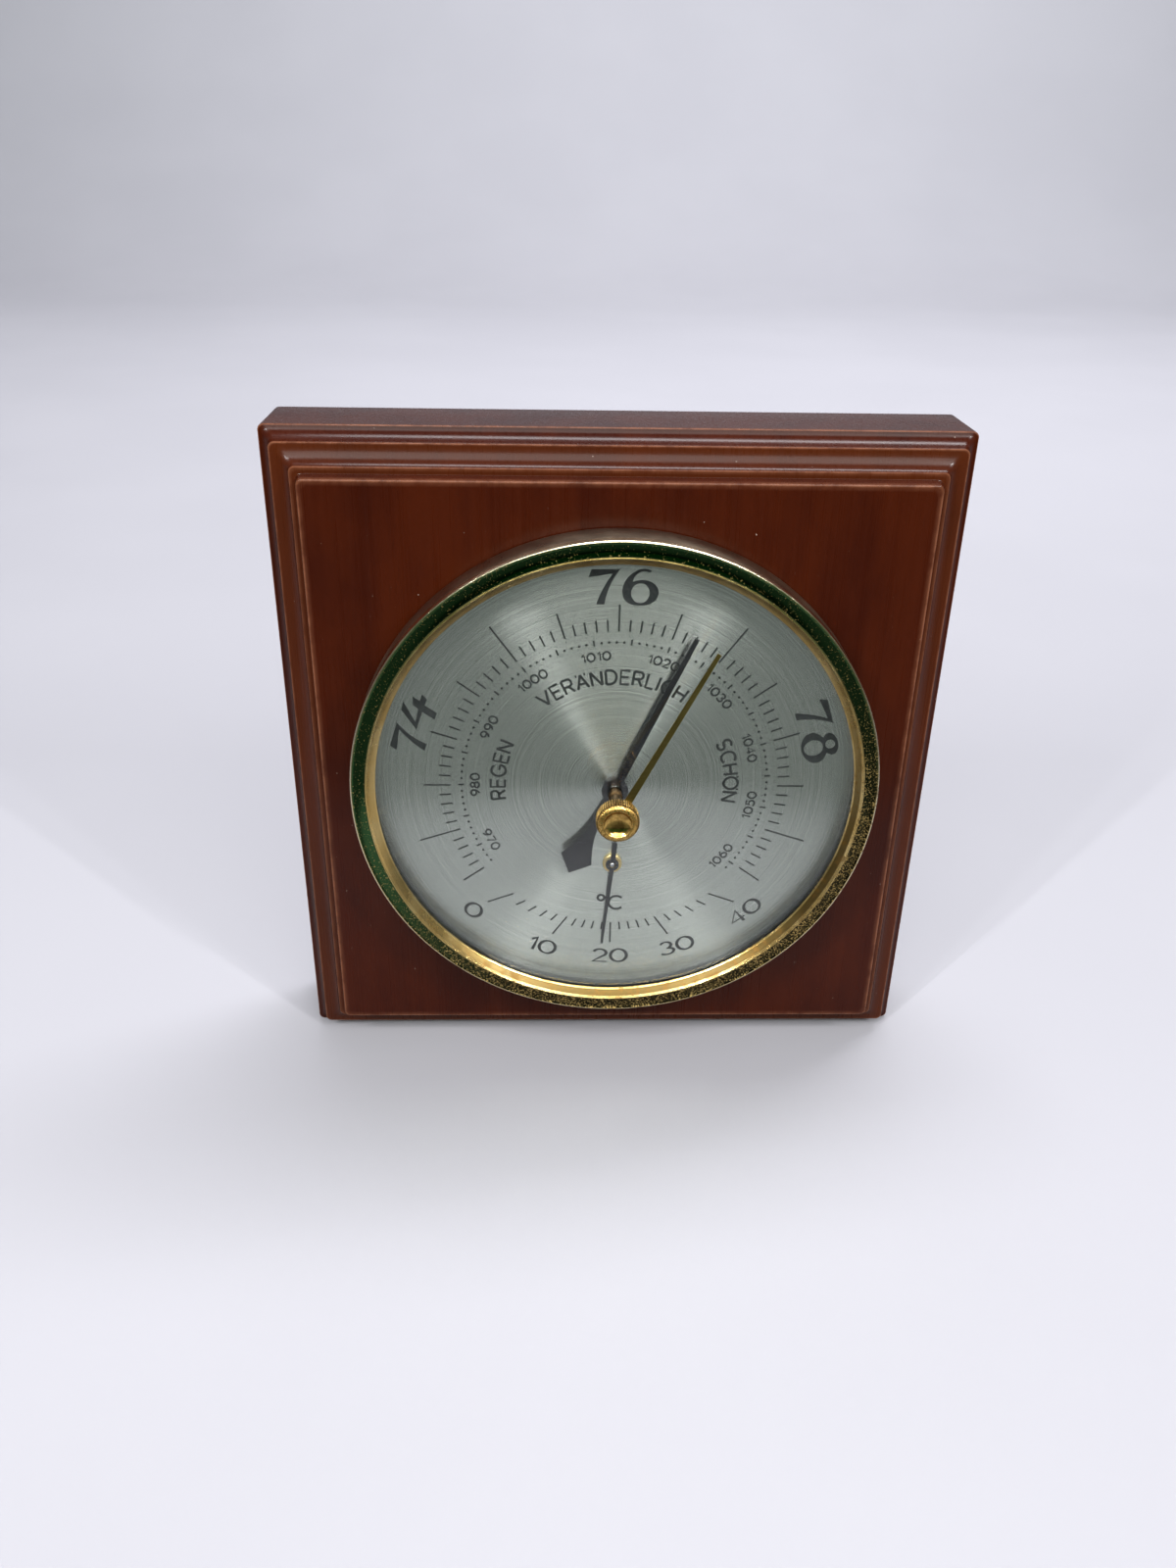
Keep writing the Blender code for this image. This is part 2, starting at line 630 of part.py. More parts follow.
def build_set_hand():
    side = [(0.4, SET_TIP), (0.62, 12.0), (0.75, 3.0), *arc(0, 0, 2.1, 70, -90, 8)]
    outline = side + [(-x, y) for x, y in side[-2::-1]]
    hand = as_mesh(plate("set_hand", "brass", [outline, circle(0, 0, 1.3, 16)], 40.3, 40.6, turn=SET_REST))
    root, tip = 3.0 * MM, SET_TIP * MM
    for vert in hand.data.vertices:
        along = max(0.0, vert.co.y - root) / (tip - root)
        vert.co.z -= along * (40.45 - SET_TIP_H) * MM
    shaft = [(0, 41.7), (0.8, 41.7), (1.0, 41.5), (1.0, 33.0), (1.35, 32.6), (1.35, 31.55), (0.8, 31.55)]
    turned("set_shaft", "brass", [*shaft, (0.8, 29.5), (0, 29.5)], steps=20)
    turned("set_washer", "black", washer(1.1, 2.7, 29.4, 29.75), steps=24, ring=True)


def build_knob():
    """A dished round knob with a knurled edge and a blind hole for the shaft."""
    dish = [(0.0, 42.45), (1.5, 42.55), (2.5, 42.85), (2.95, 43.25), (3.3, 43.4), (3.75, 43.25)]
    edge = [(3.95, 42.95, 1), (4.1, 42.8, 1), (4.1, 41.6, 1), (3.9, 41.3, 1)]
    back = [(3.5, 41.05), (1.3, 41.05), (1.3, 42.0), (0.0, 42.0)]
    steps = 40
    bm = bmesh.new()
    rings = []
    for point in dish + edge + back:
        r, h, rough = (*point, 0)[:3]
        if not r:
            rings.append([bm.verts.new((0, 0, h * MM))] * steps)
            continue
        ring = []
        for i in range(steps):
            a, cut = math.tau * i / steps, 0.14 * rough * (i % 2)
            ring.append(bm.verts.new(((r - cut) * math.cos(a) * MM, (r - cut) * math.sin(a) * MM, h * MM)))
        rings.append(ring)
    for high, low in zip(rings, rings[1:]):
        for i in range(steps):
            j = (i + 1) % steps
            corners = list(dict.fromkeys((low[i], low[j], high[j], high[i])))
            bm.faces.new(corners)
    add("set_knob", mesh_of("set_knob", bm, 30.0), "brass")


def build_thermometer():
    at = (0, THERMO_Y, 0)
    collet = [(0.75, 27.7), (1.55, 27.7), (1.7, 27.55), (1.7, 26.8), (0.95, 26.8), (0.95, 25.4), (0.75, 25.4)]
    turned("thermo_collet", "brass", collet, at, 16, ring=True)
    turned("thermo_arbor", "steel", rod(0.45, 22.3, 28.35, 0.1), at, 14)
    side = [(0.22, THERMO_TIP), (0.42, 3.0), *arc(0, 0, 1.35, 68, -68, 8), (0.45, -4.9)]
    outline = side + [(-x, y) for x, y in side[::-1]]
    outlines = [outline, circle(0, 0, 0.75, 14)]
    plate("thermo_hand", "black", outlines, 28.0, 28.2, (0, THERMO_Y), turn=THERMO_REST)
    outer = [(-6.2, 26.2), (-6.2, 22.0), (6.2, 22.0), (6.2, 26.2)]
    inner = [(5.6, 26.2), (5.6, 22.6), (-5.6, 22.6), (-5.6, 26.2)]
    curve = bpy.data.curves.new("thermo_bracket", "CURVE")
    curve.dimensions = "2D"
    curve.fill_mode = "BOTH"
    curve.extrude = 1.2 * MM
    spline = curve.splines.new("POLY")
    spline.points.add(7)
    spline.use_cyclic_u = True
    for point, (x, h) in zip(spline.points, outer + inner):
        point.co = (x * MM, h * MM, 0.0, 1.0)
    bracket = as_mesh(add("thermo_bracket", curve, "brass", (0, THERMO_Y, 0), view=PLAN))
    drill(bracket, 0, THERMO_Y, 0.75, 21, 23.2, 14)


build_case()
build_clips()
build_hanger()
build_bumpers()
build_can()
build_bezel()
build_glass_and_dial()
build_base()
build_pillars()
build_front_plate()
build_mid_plate()
build_capsule()
build_rocker()
build_brackets()
build_link()
build_pinion()
build_sector()
build_springs()
build_pointer()
build_set_hand()
build_knob()
build_thermometer()
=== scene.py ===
"""Looks for the aneroid barometer: mahogany case, brass bezel, spun and printed dial, hands.

Lengths in this file are in millimetres in the dial's front view: x to the right, y up, both from
the dial's axis, and h forward from the back of the case. MM turns them into metres.
"""

import json
import math

import bmesh
import bpy
from mathutils import Matrix, Vector

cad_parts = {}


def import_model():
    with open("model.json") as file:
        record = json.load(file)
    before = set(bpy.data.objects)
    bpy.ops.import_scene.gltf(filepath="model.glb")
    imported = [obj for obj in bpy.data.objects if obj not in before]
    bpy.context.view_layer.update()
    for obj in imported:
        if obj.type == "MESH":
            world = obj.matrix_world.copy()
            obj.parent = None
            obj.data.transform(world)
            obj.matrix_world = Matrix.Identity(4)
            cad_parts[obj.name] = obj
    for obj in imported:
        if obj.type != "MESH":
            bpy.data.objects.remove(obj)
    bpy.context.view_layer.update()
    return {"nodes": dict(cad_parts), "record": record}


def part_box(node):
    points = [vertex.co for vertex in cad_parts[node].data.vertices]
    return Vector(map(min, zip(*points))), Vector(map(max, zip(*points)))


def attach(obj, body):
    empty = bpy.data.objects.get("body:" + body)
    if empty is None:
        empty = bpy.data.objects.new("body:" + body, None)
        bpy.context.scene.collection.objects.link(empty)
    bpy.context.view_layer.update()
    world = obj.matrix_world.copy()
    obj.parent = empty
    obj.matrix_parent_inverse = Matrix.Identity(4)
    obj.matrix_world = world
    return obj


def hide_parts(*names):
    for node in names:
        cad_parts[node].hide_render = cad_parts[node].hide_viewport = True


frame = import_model()

MM = 0.001
NODES = frame["nodes"]
SLOT_OF = {row["node"]: row["material_slot"] for row in frame["record"]["subparts"]}


def centre_of(node):
    low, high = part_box(node)
    return (low + high) / 2.0


AXIS = centre_of("cover_glass")
THERMO = centre_of("thermo_collet")
THERMO_Y = (THERMO.z - AXIS.z) / MM


def front_of(node):
    """Height of a node's front face above the back of the case, in millimetres."""
    return -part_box(node)[0].y / MM


def back_of(node):
    return -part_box(node)[1].y / MM


DIAL_H = front_of("dial_plate")
PANEL_H = front_of("case_block")
CASE_LOW, CASE_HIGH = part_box("case_block")
HALF_W = (CASE_HIGH.x - CASE_LOW.x) / 2.0 / MM
HALF_H = (CASE_HIGH.z - CASE_LOW.z) / 2.0 / MM
BEZEL_R = (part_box("bezel")[1].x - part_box("bezel")[0].x) / 2.0 / MM


def world(x, y, h):
    """A point of the dial's front view, in the row's frame in metres."""
    return Vector((AXIS.x + x * MM, -h * MM, AXIS.z + y * MM))


# Node material helpers


class Nodes:
    """Short calls that add nodes to a node tree."""

    def __init__(self, tree):
        self.tree = tree

    def node(self, kind, **values):
        made = self.tree.nodes.new(kind)
        for key, value in values.items():
            setattr(made, key, value)
        return made

    def link(self, source, target):
        self.tree.links.new(source, target)

    def feed(self, socket, value):
        """Links an output to the socket, or sets the socket to a plain value or an RGB colour."""
        if hasattr(value, "is_linked"):
            self.link(value, socket)
        elif isinstance(value, tuple) and len(value) == 3:
            socket.default_value = (*value, 1.0)
        else:
            socket.default_value = value

    def math(self, operation, a, b=0.0):
        made = self.node("ShaderNodeMath", operation=operation)
        self.feed(made.inputs[0], a)
        self.feed(made.inputs[1], b)
        return made.outputs[0]

    def add(self, a, b):
        return self.math("ADD", a, b)

    def times(self, a, b):
        return self.math("MULTIPLY", a, b)

    def span(self, value, low, high, to_low=0.0, to_high=1.0):
        """A smooth step of the value from to_low, at low, to to_high, at high."""
        made = self.node("ShaderNodeMapRange", interpolation_type="SMOOTHSTEP")
        self.link(value, made.inputs["Value"])
        limits = {"From Min": low, "From Max": high, "To Min": to_low, "To Max": to_high}
        for name, number in limits.items():
            made.inputs[name].default_value = number
        return made.outputs["Result"]

    def mix(self, factor, a, b):
        made = self.node("ShaderNodeMix", data_type="RGBA")
        for index, value in ((0, factor), (6, a), (7, b)):
            self.feed(made.inputs[index], value)
        return made.outputs[2]


class Shade(Nodes):
    """Builds one node material with short calls."""

    def __init__(self, name):
        self.material = bpy.data.materials.new(name)
        self.material.use_nodes = True
        super().__init__(self.material.node_tree)
        self.main = self.tree.nodes["Principled BSDF"]

    def set(self, **values):
        for key, value in values.items():
            name = key.replace("_", " ").title().replace("Ior", "IOR")
            self.main.inputs[name].default_value = value

    def put(self, name, value):
        self.feed(self.main.inputs[name], value)

    def where(self, scale=(1.0, 1.0, 1.0)):
        coordinates = self.node("ShaderNodeTexCoord")
        mapping = self.node("ShaderNodeMapping")
        mapping.inputs["Scale"].default_value = scale
        self.link(coordinates.outputs["Object"], mapping.inputs["Vector"])
        return mapping.outputs["Vector"]

    def noise(self, vector, scale, detail=3.0, rough=0.5, distortion=0.0):
        made = self.node("ShaderNodeTexNoise")
        made.inputs["Scale"].default_value = scale
        made.inputs["Detail"].default_value = detail
        made.inputs["Roughness"].default_value = rough
        made.inputs["Distortion"].default_value = distortion
        self.link(vector, made.inputs["Vector"])
        return made.outputs["Fac"]

    def bump(self, height, strength, distance):
        made = self.node("ShaderNodeBump")
        made.inputs["Strength"].default_value = strength
        made.inputs["Distance"].default_value = distance
        self.link(height, made.inputs["Height"])
        self.link(made.outputs["Normal"], self.main.inputs["Normal"])

    def axes(self):
        """x and z from the dial's axis, and y, in metres."""
        split = self.node("ShaderNodeSeparateXYZ")
        self.link(self.where(), split.inputs[0])
        x = self.math("SUBTRACT", split.outputs[0], AXIS.x)
        z = self.math("SUBTRACT", split.outputs[2], AXIS.z)
        return x, split.outputs[1], z

    def radius(self):
        x, _, z = self.axes()
        total = self.add(self.times(x, x), self.times(z, z))
        return self.math("SQRT", total)

    def attribute(self, name):
        return self.node("ShaderNodeAttribute", attribute_name=name).outputs["Fac"]


def mahogany():
    s = Shade("mahogany")
    bands = s.noise(s.where((26.0, 26.0, 1.6)), 4.0, 4.0, 0.55, 0.5)
    streaks = s.noise(s.where((650.0, 650.0, 11.0)), 2.0, 4.0, 0.6)
    pores = s.noise(s.where((3200.0, 3200.0, 210.0)), 1.0, 2.0, 0.5)
    mottle = s.noise(s.where((1.0, 1.0, 0.5)), 70.0, 4.0, 0.6)
    tone = s.add(s.times(bands, 0.36), s.times(streaks, 0.12))
    tone = s.add(tone, s.times(mottle, 0.52))
    colour = s.mix(s.span(tone, 0.36, 0.64), (0.027, 0.0030, 0.0003), (0.044, 0.0058, 0.0004))
    pore = s.span(pores, 0.30, 0.39, 1.0, 0.0)
    colour = s.mix(s.times(pore, 0.22), colour, (0.017, 0.0025, 0.0005))
    fleck = s.noise(s.where(), 1250.0, 2.0, 0.6)
    dust = s.span(fleck, 0.765, 0.80)
    colour = s.mix(s.times(dust, 0.6), colour, (0.52, 0.42, 0.36))
    worn = s.noise(s.where(), 300.0, 4.0, 0.65)
    wear = s.times(s.attribute("wear"), s.span(worn, 0.30, 0.62, 0.30, 0.85))
    colour = s.mix(wear, colour, (0.20, 0.075, 0.038))
    # Painted light: an orange-brown tint where light falls on the second cove and its fillets.
    colour = s.mix(s.times(s.attribute("painted_light_tint"), 0.30), colour, (0.105, 0.026, 0.007))
    s.put("Base Color", colour)
    s.put("Roughness", s.span(streaks, 0.2, 0.8, 0.24, 0.34))
    s.set(coat_weight=0.16, coat_roughness=0.14, specular_ior_level=0.14)
    height = s.add(s.times(pore, -0.6), s.times(streaks, 0.5))
    s.bump(height, 0.18, 0.00005)
    return s.material


def bezel_brass():
    """Gilt brass. The sloping face has a dark, glassy coat, pitted with gold low to the right."""
    s = Shade("bezel_brass")
    x, y, z = s.axes()
    radius = s.radius()
    cloud = s.noise(s.where(), 130.0, 4.0, 0.6)
    fine = s.noise(s.where(), 3000.0, 4.0, 0.7)
    medium = s.noise(s.where(), 620.0, 4.0, 0.7)
    outside_crest = s.span(radius, 0.04788, 0.04802)
    slope = s.times(outside_crest, s.span(radius, 0.05040, 0.05050, 1.0, 0.0))
    slope = s.times(slope, s.span(y, -0.0322, -0.0328))
    low = s.span(s.add(s.times(z, -1.0), s.times(x, 0.55)), -0.020, 0.040)
    pits = s.add(s.times(fine, 0.82), s.times(medium, 0.18))
    pits = s.add(pits, s.times(low, 0.062))
    pits = s.span(pits, 0.575, 0.650)
    side = s.span(y, -0.0318, -0.0308)
    bright = s.mix(s.span(cloud, 0.35, 0.7), (0.80, 0.55, 0.19), (0.90, 0.68, 0.30))
    smudge = s.times(s.span(medium, 0.50, 0.64), s.times(low, 0.7))
    # Painted shade: the inner lip down to the glass is darkened, most towards the bottom right.
    inner = s.times(s.span(radius, 0.04745, 0.04725), s.span(radius, 0.04628, 0.04640))
    inner = s.times(inner, s.add(0.25, s.times(low, 0.75)))
    bright = s.mix(s.times(inner, 0.92), bright, (0.080, 0.050, 0.014))
    # Painted highlight: the outer bead's crest is a paler cream gold.
    bright = s.mix(s.span(radius, 0.05048, 0.05058), bright, (0.93, 0.82, 0.58))
    bright = s.mix(smudge, bright, (0.22, 0.115, 0.03))
    # The coat's own dark colour with a painted reflection: green at the top, darker and neutral low
    # down.
    coat_and_painted_reflection = s.mix(low, (0.045, 0.110, 0.040), (0.030, 0.026, 0.012))
    coat = s.mix(s.times(pits, 0.85), coat_and_painted_reflection, (0.80, 0.55, 0.20))
    colour = s.mix(slope, bright, coat)
    # Painted shade and painted reflection: the outer side wall is a darker, greyer brass.
    painted_side_shade = s.mix(s.span(medium, 0.3, 0.7), (0.24, 0.19, 0.15), (0.34, 0.27, 0.20))
    s.put("Base Color", s.mix(s.times(side, 0.8), colour, painted_side_shade))
    plain = s.span(cloud, 0.3, 0.7, 0.15, 0.24)
    plain = s.add(plain, s.times(s.add(smudge, inner), 0.15))
    glassy = s.add(0.04, s.times(pits, 0.40))
    rough = s.node("ShaderNodeMix", data_type="FLOAT")
    for index, value in ((0, slope), (2, plain), (3, glassy)):
        s.link(value, rough.inputs[index])
    s.put("Roughness", s.add(rough.outputs[0], s.times(side, 0.12)))
    s.put("Metallic", 1.0)
    s.bump(s.add(s.times(pits, -1.0), s.times(fine, 0.10)), 0.2, 0.00003)
    return s.material


def polished_brass(name, light, shadow, rough=(0.10, 0.24)):
    s = Shade(name)
    cloud = s.noise(s.where(), 260.0, 4.0, 0.6)
    fine = s.noise(s.where(), 1900.0, 3.0, 0.65)
    mark = s.times(s.span(fine, 0.55, 0.68), s.span(cloud, 0.40, 0.62))
    colour = s.mix(s.span(cloud, 0.3, 0.7), light, shadow)
    tarnish = tuple(c * 0.35 for c in shadow)
    s.put("Base Color", s.mix(s.times(mark, 0.55), colour, tarnish))
    s.put("Roughness", s.add(s.span(cloud, 0.25, 0.75, *rough), s.times(mark, 0.2)))
    s.put("Metallic", 1.0)
    s.bump(fine, 0.12, 0.00002)
    return s.material


def brushed(name, light, shadow, rough=(0.25, 0.4), scale=(90.0, 90.0, 2400.0)):
    s = Shade(name)
    lines = s.noise(s.where(scale), 1.0, 3.0, 0.6)
    cloud = s.noise(s.where(), 160.0, 4.0, 0.6)
    tone = s.add(s.times(lines, 0.5), s.times(cloud, 0.5))
    s.put("Base Color", s.mix(s.span(tone, 0.35, 0.65), light, shadow))
    s.put("Roughness", s.span(lines, 0.25, 0.75, *rough))
    s.put("Metallic", 1.0)
    s.bump(lines, 0.15, 0.00002)
    return s.material


def spun_dial():
    """Lacquered aluminium, turned so that fine circles run round the dial's axis."""
    s = Shade("spun_dial")
    radius = s.radius()
    rings = s.node("ShaderNodeTexNoise", noise_dimensions="1D")
    rings.inputs["Scale"].default_value = 3600.0
    rings.inputs["Detail"].default_value = 4.0
    rings.inputs["Roughness"].default_value = 0.75
    s.link(radius, rings.inputs["W"])
    wide = s.node("ShaderNodeTexNoise", noise_dimensions="1D")
    wide.inputs["Scale"].default_value = 900.0
    wide.inputs["Detail"].default_value = 3.0
    s.link(radius, wide.inputs["W"])
    lines = s.add(s.times(rings.outputs["Fac"], 0.85), s.times(wide.outputs["Fac"], 0.15))
    cloud = s.noise(s.where(), 45.0, 4.0, 0.6)
    speck = s.span(s.noise(s.where(), 1100.0, 2.0, 0.6), 0.74, 0.80)
    colour = s.mix(s.span(lines, 0.3, 0.7), (0.56, 0.585, 0.55), (0.76, 0.78, 0.74))
    colour = s.mix(s.span(cloud, 0.35, 0.7, 0.0, 0.35), colour, (0.62, 0.64, 0.60))
    s.put("Base Color", s.mix(s.times(speck, 0.4), colour, (0.24, 0.25, 0.24)))
    s.put("Roughness", s.span(lines, 0.25, 0.75, 0.21, 0.27))
    s.put("Metallic", 0.97)
    s.set(anisotropic=1.0, anisotropic_rotation=0.25)
    tangent = s.node("ShaderNodeTangent", direction_type="RADIAL", axis="Y")
    s.link(tangent.outputs[0], s.main.inputs["Tangent"])
    s.bump(lines, 0.32, 0.00002)
    return s.material


def glass():
    s = Shade("cover_glass")
    s.put("Base Color", (0.97, 0.99, 0.98))
    s.put("Roughness", 0.0)
    s.put("IOR", 1.5)
    s.put("Transmission Weight", 1.0)
    shadow = s.node("ShaderNodeBsdfTransparent")
    path = s.node("ShaderNodeLightPath")
    swap = s.node("ShaderNodeMixShader")
    ray = s.math("MAXIMUM", path.outputs["Is Shadow Ray"], path.outputs["Is Diffuse Ray"])
    s.link(ray, swap.inputs[0])
    s.link(s.main.outputs[0], swap.inputs[1])
    s.link(shadow.outputs[0], swap.inputs[2])
    s.link(swap.outputs[0], s.tree.nodes["Material Output"].inputs["Surface"])
    return s.material


def enamel(name, colour):
    s = Shade(name)
    cloud = s.noise(s.where(), 350.0, 4.0, 0.6)
    fine = s.noise(s.where(), 2600.0, 3.0, 0.6)
    worn = s.times(s.span(fine, 0.6, 0.72), s.span(cloud, 0.5, 0.7))
    s.put("Base Color", s.mix(worn, colour, (0.08, 0.08, 0.09)))
    s.put("Roughness", s.span(cloud, 0.3, 0.7, 0.15, 0.24))
    s.put("Metallic", 0.0)
    s.bump(fine, 0.10, 0.00002)
    return s.material


def ink():
    s = Shade("printed_ink")
    fine = s.noise(s.where(), 2400.0, 3.0, 0.6)
    black, grey = (0.006, 0.007, 0.008), (0.018, 0.020, 0.020)
    s.put("Base Color", s.mix(s.span(fine, 0.35, 0.7), black, grey))
    s.put("Roughness", s.span(fine, 0.3, 0.7, 0.42, 0.6))
    s.set(specular_ior_level=0.3)
    s.bump(fine, 0.1, 0.00001)
    return s.material


def felt():
    s = Shade("felt")
    fibre = s.noise(s.where((1.0, 1.0, 1.6)), 2300.0, 5.0, 0.75, 1.2)
    cloud = s.noise(s.where(), 400.0, 3.0, 0.6)
    dark, pale = (0.012, 0.022, 0.013), (0.055, 0.085, 0.05)
    s.put("Base Color", s.mix(s.span(fibre, 0.35, 0.65), dark, pale))
    s.put("Roughness", s.span(cloud, 0.3, 0.7, 0.85, 1.0))
    s.set(sheen_weight=0.5, sheen_roughness=0.5, specular_ior_level=0.2)
    s.bump(fibre, 0.8, 0.0002)
    return s.material


BRUSHED = {
    "movement_brass": ((0.80, 0.62, 0.30), (0.62, 0.45, 0.19)),
    "hanger_steel": ((0.55, 0.55, 0.54), (0.38, 0.38, 0.37), (0.25, 0.4), (1500.0, 90.0, 90.0)),
    "can_metal": ((0.42, 0.40, 0.35), (0.30, 0.28, 0.24), (0.34, 0.5), (300.0, 90.0, 300.0)),
    "steel": ((0.62, 0.62, 0.63), (0.46, 0.46, 0.48), (0.18, 0.3)),
    "spring_steel": ((0.16, 0.19, 0.30), (0.10, 0.12, 0.20), (0.2, 0.32)),
}
POLISHED = {
    "knob_brass": ((0.86, 0.60, 0.24), (0.70, 0.44, 0.14)),
    "clip_brass": ((0.62, 0.45, 0.19), (0.42, 0.29, 0.12), (0.25, 0.42)),
    "capsule_copper": ((0.74, 0.44, 0.26), (0.58, 0.32, 0.18), (0.25, 0.4)),
    "bimetal": ((0.66, 0.45, 0.28), (0.45, 0.29, 0.18), (0.22, 0.4)),
}
MATERIALS = {
    "mahogany": mahogany(),
    "bezel_brass": bezel_brass(),
    "dial_aluminium": spun_dial(),
    "glass": glass(),
    "black_metal": enamel("black_metal", (0.010, 0.010, 0.012)),
    "felt": felt(),
}
MATERIALS.update({name: brushed(name, *values) for name, values in BRUSHED.items()})
MATERIALS.update({name: polished_brass(name, *values) for name, values in POLISHED.items()})
INK = ink()
# Brass that has its own look, inside the slot of its part.
HAND_BRASS = brushed("hand_brass", (0.27, 0.20, 0.065), (0.19, 0.14, 0.042), (0.28, 0.38))
AGED_BRASS = polished_brass("aged_brass", (0.16, 0.10, 0.045), (0.07, 0.042, 0.022), (0.30, 0.45))

for name, obj in NODES.items():
    obj.data.materials.clear()
    obj.data.materials.append(MATERIALS[SLOT_OF[name]])
    obj.data.shade_smooth()
    obj.data.set_sharp_from_angle(angle=math.radians(32.0))
NODES["set_hand"].data.materials[0] = HAND_BRASS


# Geometry helpers


def finish(obj, slot, body, replaces=(), material=None, angle=40.0):
    obj.data.materials.clear()
    obj.data.materials.append(material or MATERIALS[slot])
    obj.data.shade_smooth()
    obj.data.set_sharp_from_angle(angle=math.radians(angle))
    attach(obj, body)
    if replaces:
        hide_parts(*replaces)
    return obj


def in_scene(name, data):
    obj = bpy.data.objects.new(name, data)
    bpy.context.scene.collection.objects.link(obj)
    return obj


def from_bmesh(name, bm):
    bmesh.ops.recalc_face_normals(bm, faces=bm.faces[:])
    mesh = bpy.data.meshes.new(name)
    bm.to_mesh(mesh)
    bm.free()
    return in_scene(name, mesh)


def rounded(profile, radius, steps=3):
    """The same closed profile with its corners rounded."""
    out = []
    count = len(profile)
    for i, point in enumerate(profile):
        here = Vector(point)
        before, after = Vector(profile[i - 1]) - here, Vector(profile[(i + 1) % count]) - here
        cut = min(radius, before.length * 0.45, after.length * 0.45)
        a, b = here + before.normalized() * cut, here + after.normalized() * cut
        for k in range(steps + 1):
            t = k / steps
            out.append(tuple(a * (1 - t) ** 2 + here * 2 * t * (1 - t) + b * t**2))
    return out


def lathe(
    name, profile, slot, body, at=(0.0, 0.0), steps=128, replaces=(), knurl=None, material=None
):
    """A closed profile of (radius, height) pairs, turned round an axis that runs along Y."""
    bm = bmesh.new()
    rings = []
    for index, (r, h) in enumerate(profile):
        if r < 1e-6:
            rings.append([bm.verts.new(world(at[0], at[1], h))])
            continue
        ring = []
        for i in range(steps):
            a = math.tau * i / steps
            cut = knurl(index, i) if knurl else 0.0
            x, y = at[0] + (r - cut) * math.cos(a), at[1] + (r - cut) * math.sin(a)
            ring.append(bm.verts.new(world(x, y, h)))
        rings.append(ring)
    pairs = list(zip(rings, rings[1:]))
    if profile[0][0] > 1e-6:
        pairs.append((rings[-1], rings[0]))
    for high, low in pairs:
        for i in range(steps):
            j = (i + 1) % steps
            corners = [low[i % len(low)], low[j % len(low)]]
            corners += [high[j % len(high)], high[i % len(high)]]
            corners = list(dict.fromkeys(corners))
            if len(corners) > 2:
                bm.faces.new(corners)
    return finish(from_bmesh(name, bm), slot, body, replaces, material, 30.0)


def ring_profile(inner, outer, low, high, edge=0.12):
    return rounded([(inner, high), (outer, high), (outer, low), (inner, low)], edge)


# Wooden case


EDGE_H = 16.2
CORNER_R = 1.1
COVES = ((2.37, 3.7), (3.7, 2.5))


def case_outline(inset, corner=8, along=22):
    """A rectangle with rounded corners, inset evenly, with points along its sides too."""
    half_w, half_h = HALF_W - inset - CORNER_R, HALF_H - inset - CORNER_R
    points = []
    for start, sx, sy in ((0, 1, 1), (90, -1, 1), (180, -1, -1), (270, 1, -1)):
        for i in range(corner + 1):
            a = math.radians(start + 90.0 * i / corner)
            dx, dy = CORNER_R * math.cos(a), CORNER_R * math.sin(a)
            points.append((sx * half_w + dx, sy * half_h + dy))
        nx, ny = (-sx, sy) if start in (0, 180) else (sx, -sy)
        last = points[-1]
        a = math.radians(start + 90.0)
        end = (nx * half_w + CORNER_R * math.cos(a), ny * half_h + CORNER_R * math.sin(a))
        for i in range(1, along):
            t = i / along
            points.append((last[0] + (end[0] - last[0]) * t, last[1] + (end[1] - last[1]) * t))
    return points


def case_levels():
    """(inset, h, wear, painted light) rows up the routed edge, with a softened arris at every
    corner.
    """
    rows = [(0.9, 0.0, 0, 0), (0.35, 0.12, 0.3, 0), (0.08, 0.5, 0.2, 0)]
    rows += [(0.0, 1.0, 0, 0), (0.0, 8.0, 0, 0)]
    rows += [(0.0, EDGE_H - 1.1, 0, 0), (0.0, EDGE_H - 0.45, 0.25, 0)]
    rows += [(0.03, EDGE_H - 0.15, 1, 0), (0.12, EDGE_H - 0.03, 1, 0)]
    inset, top = 0.0, EDGE_H
    for number, (width, rise) in enumerate(COVES):
        for i in range(1, 15):
            a = math.radians(90.0 * i / 15.0)
            near = 1.0 if i == 14 else 0.0
            across, up = width * math.sin(a), rise * (1 - math.cos(a))
            rows.append((inset + across, top + up, near * 0.6, number * math.cos(a)))
        inset, top = inset + width, top + rise
        rows += [(inset, top - 0.1, 1, 0), (inset + 0.06, top - 0.02, 1, number)]
        rows += [(inset + 0.2, top, 0.5, number)]
    rows += [(6.75, top + 0.02, 0.0, 1), (7.2, top + 0.03, 0.0, 1), (7.32, top + 0.12, 0, 0.3)]
    rows += [(7.5, 23.6, 0, 0), (7.62, PANEL_H - 0.3, 0.5, 0), (7.7, PANEL_H - 0.1, 1, 0)]
    rows += [(7.84, PANEL_H - 0.01, 1, 0)]
    return rows + [(8.1, PANEL_H, 0.3, 0), (8.8, PANEL_H, 0, 0)]


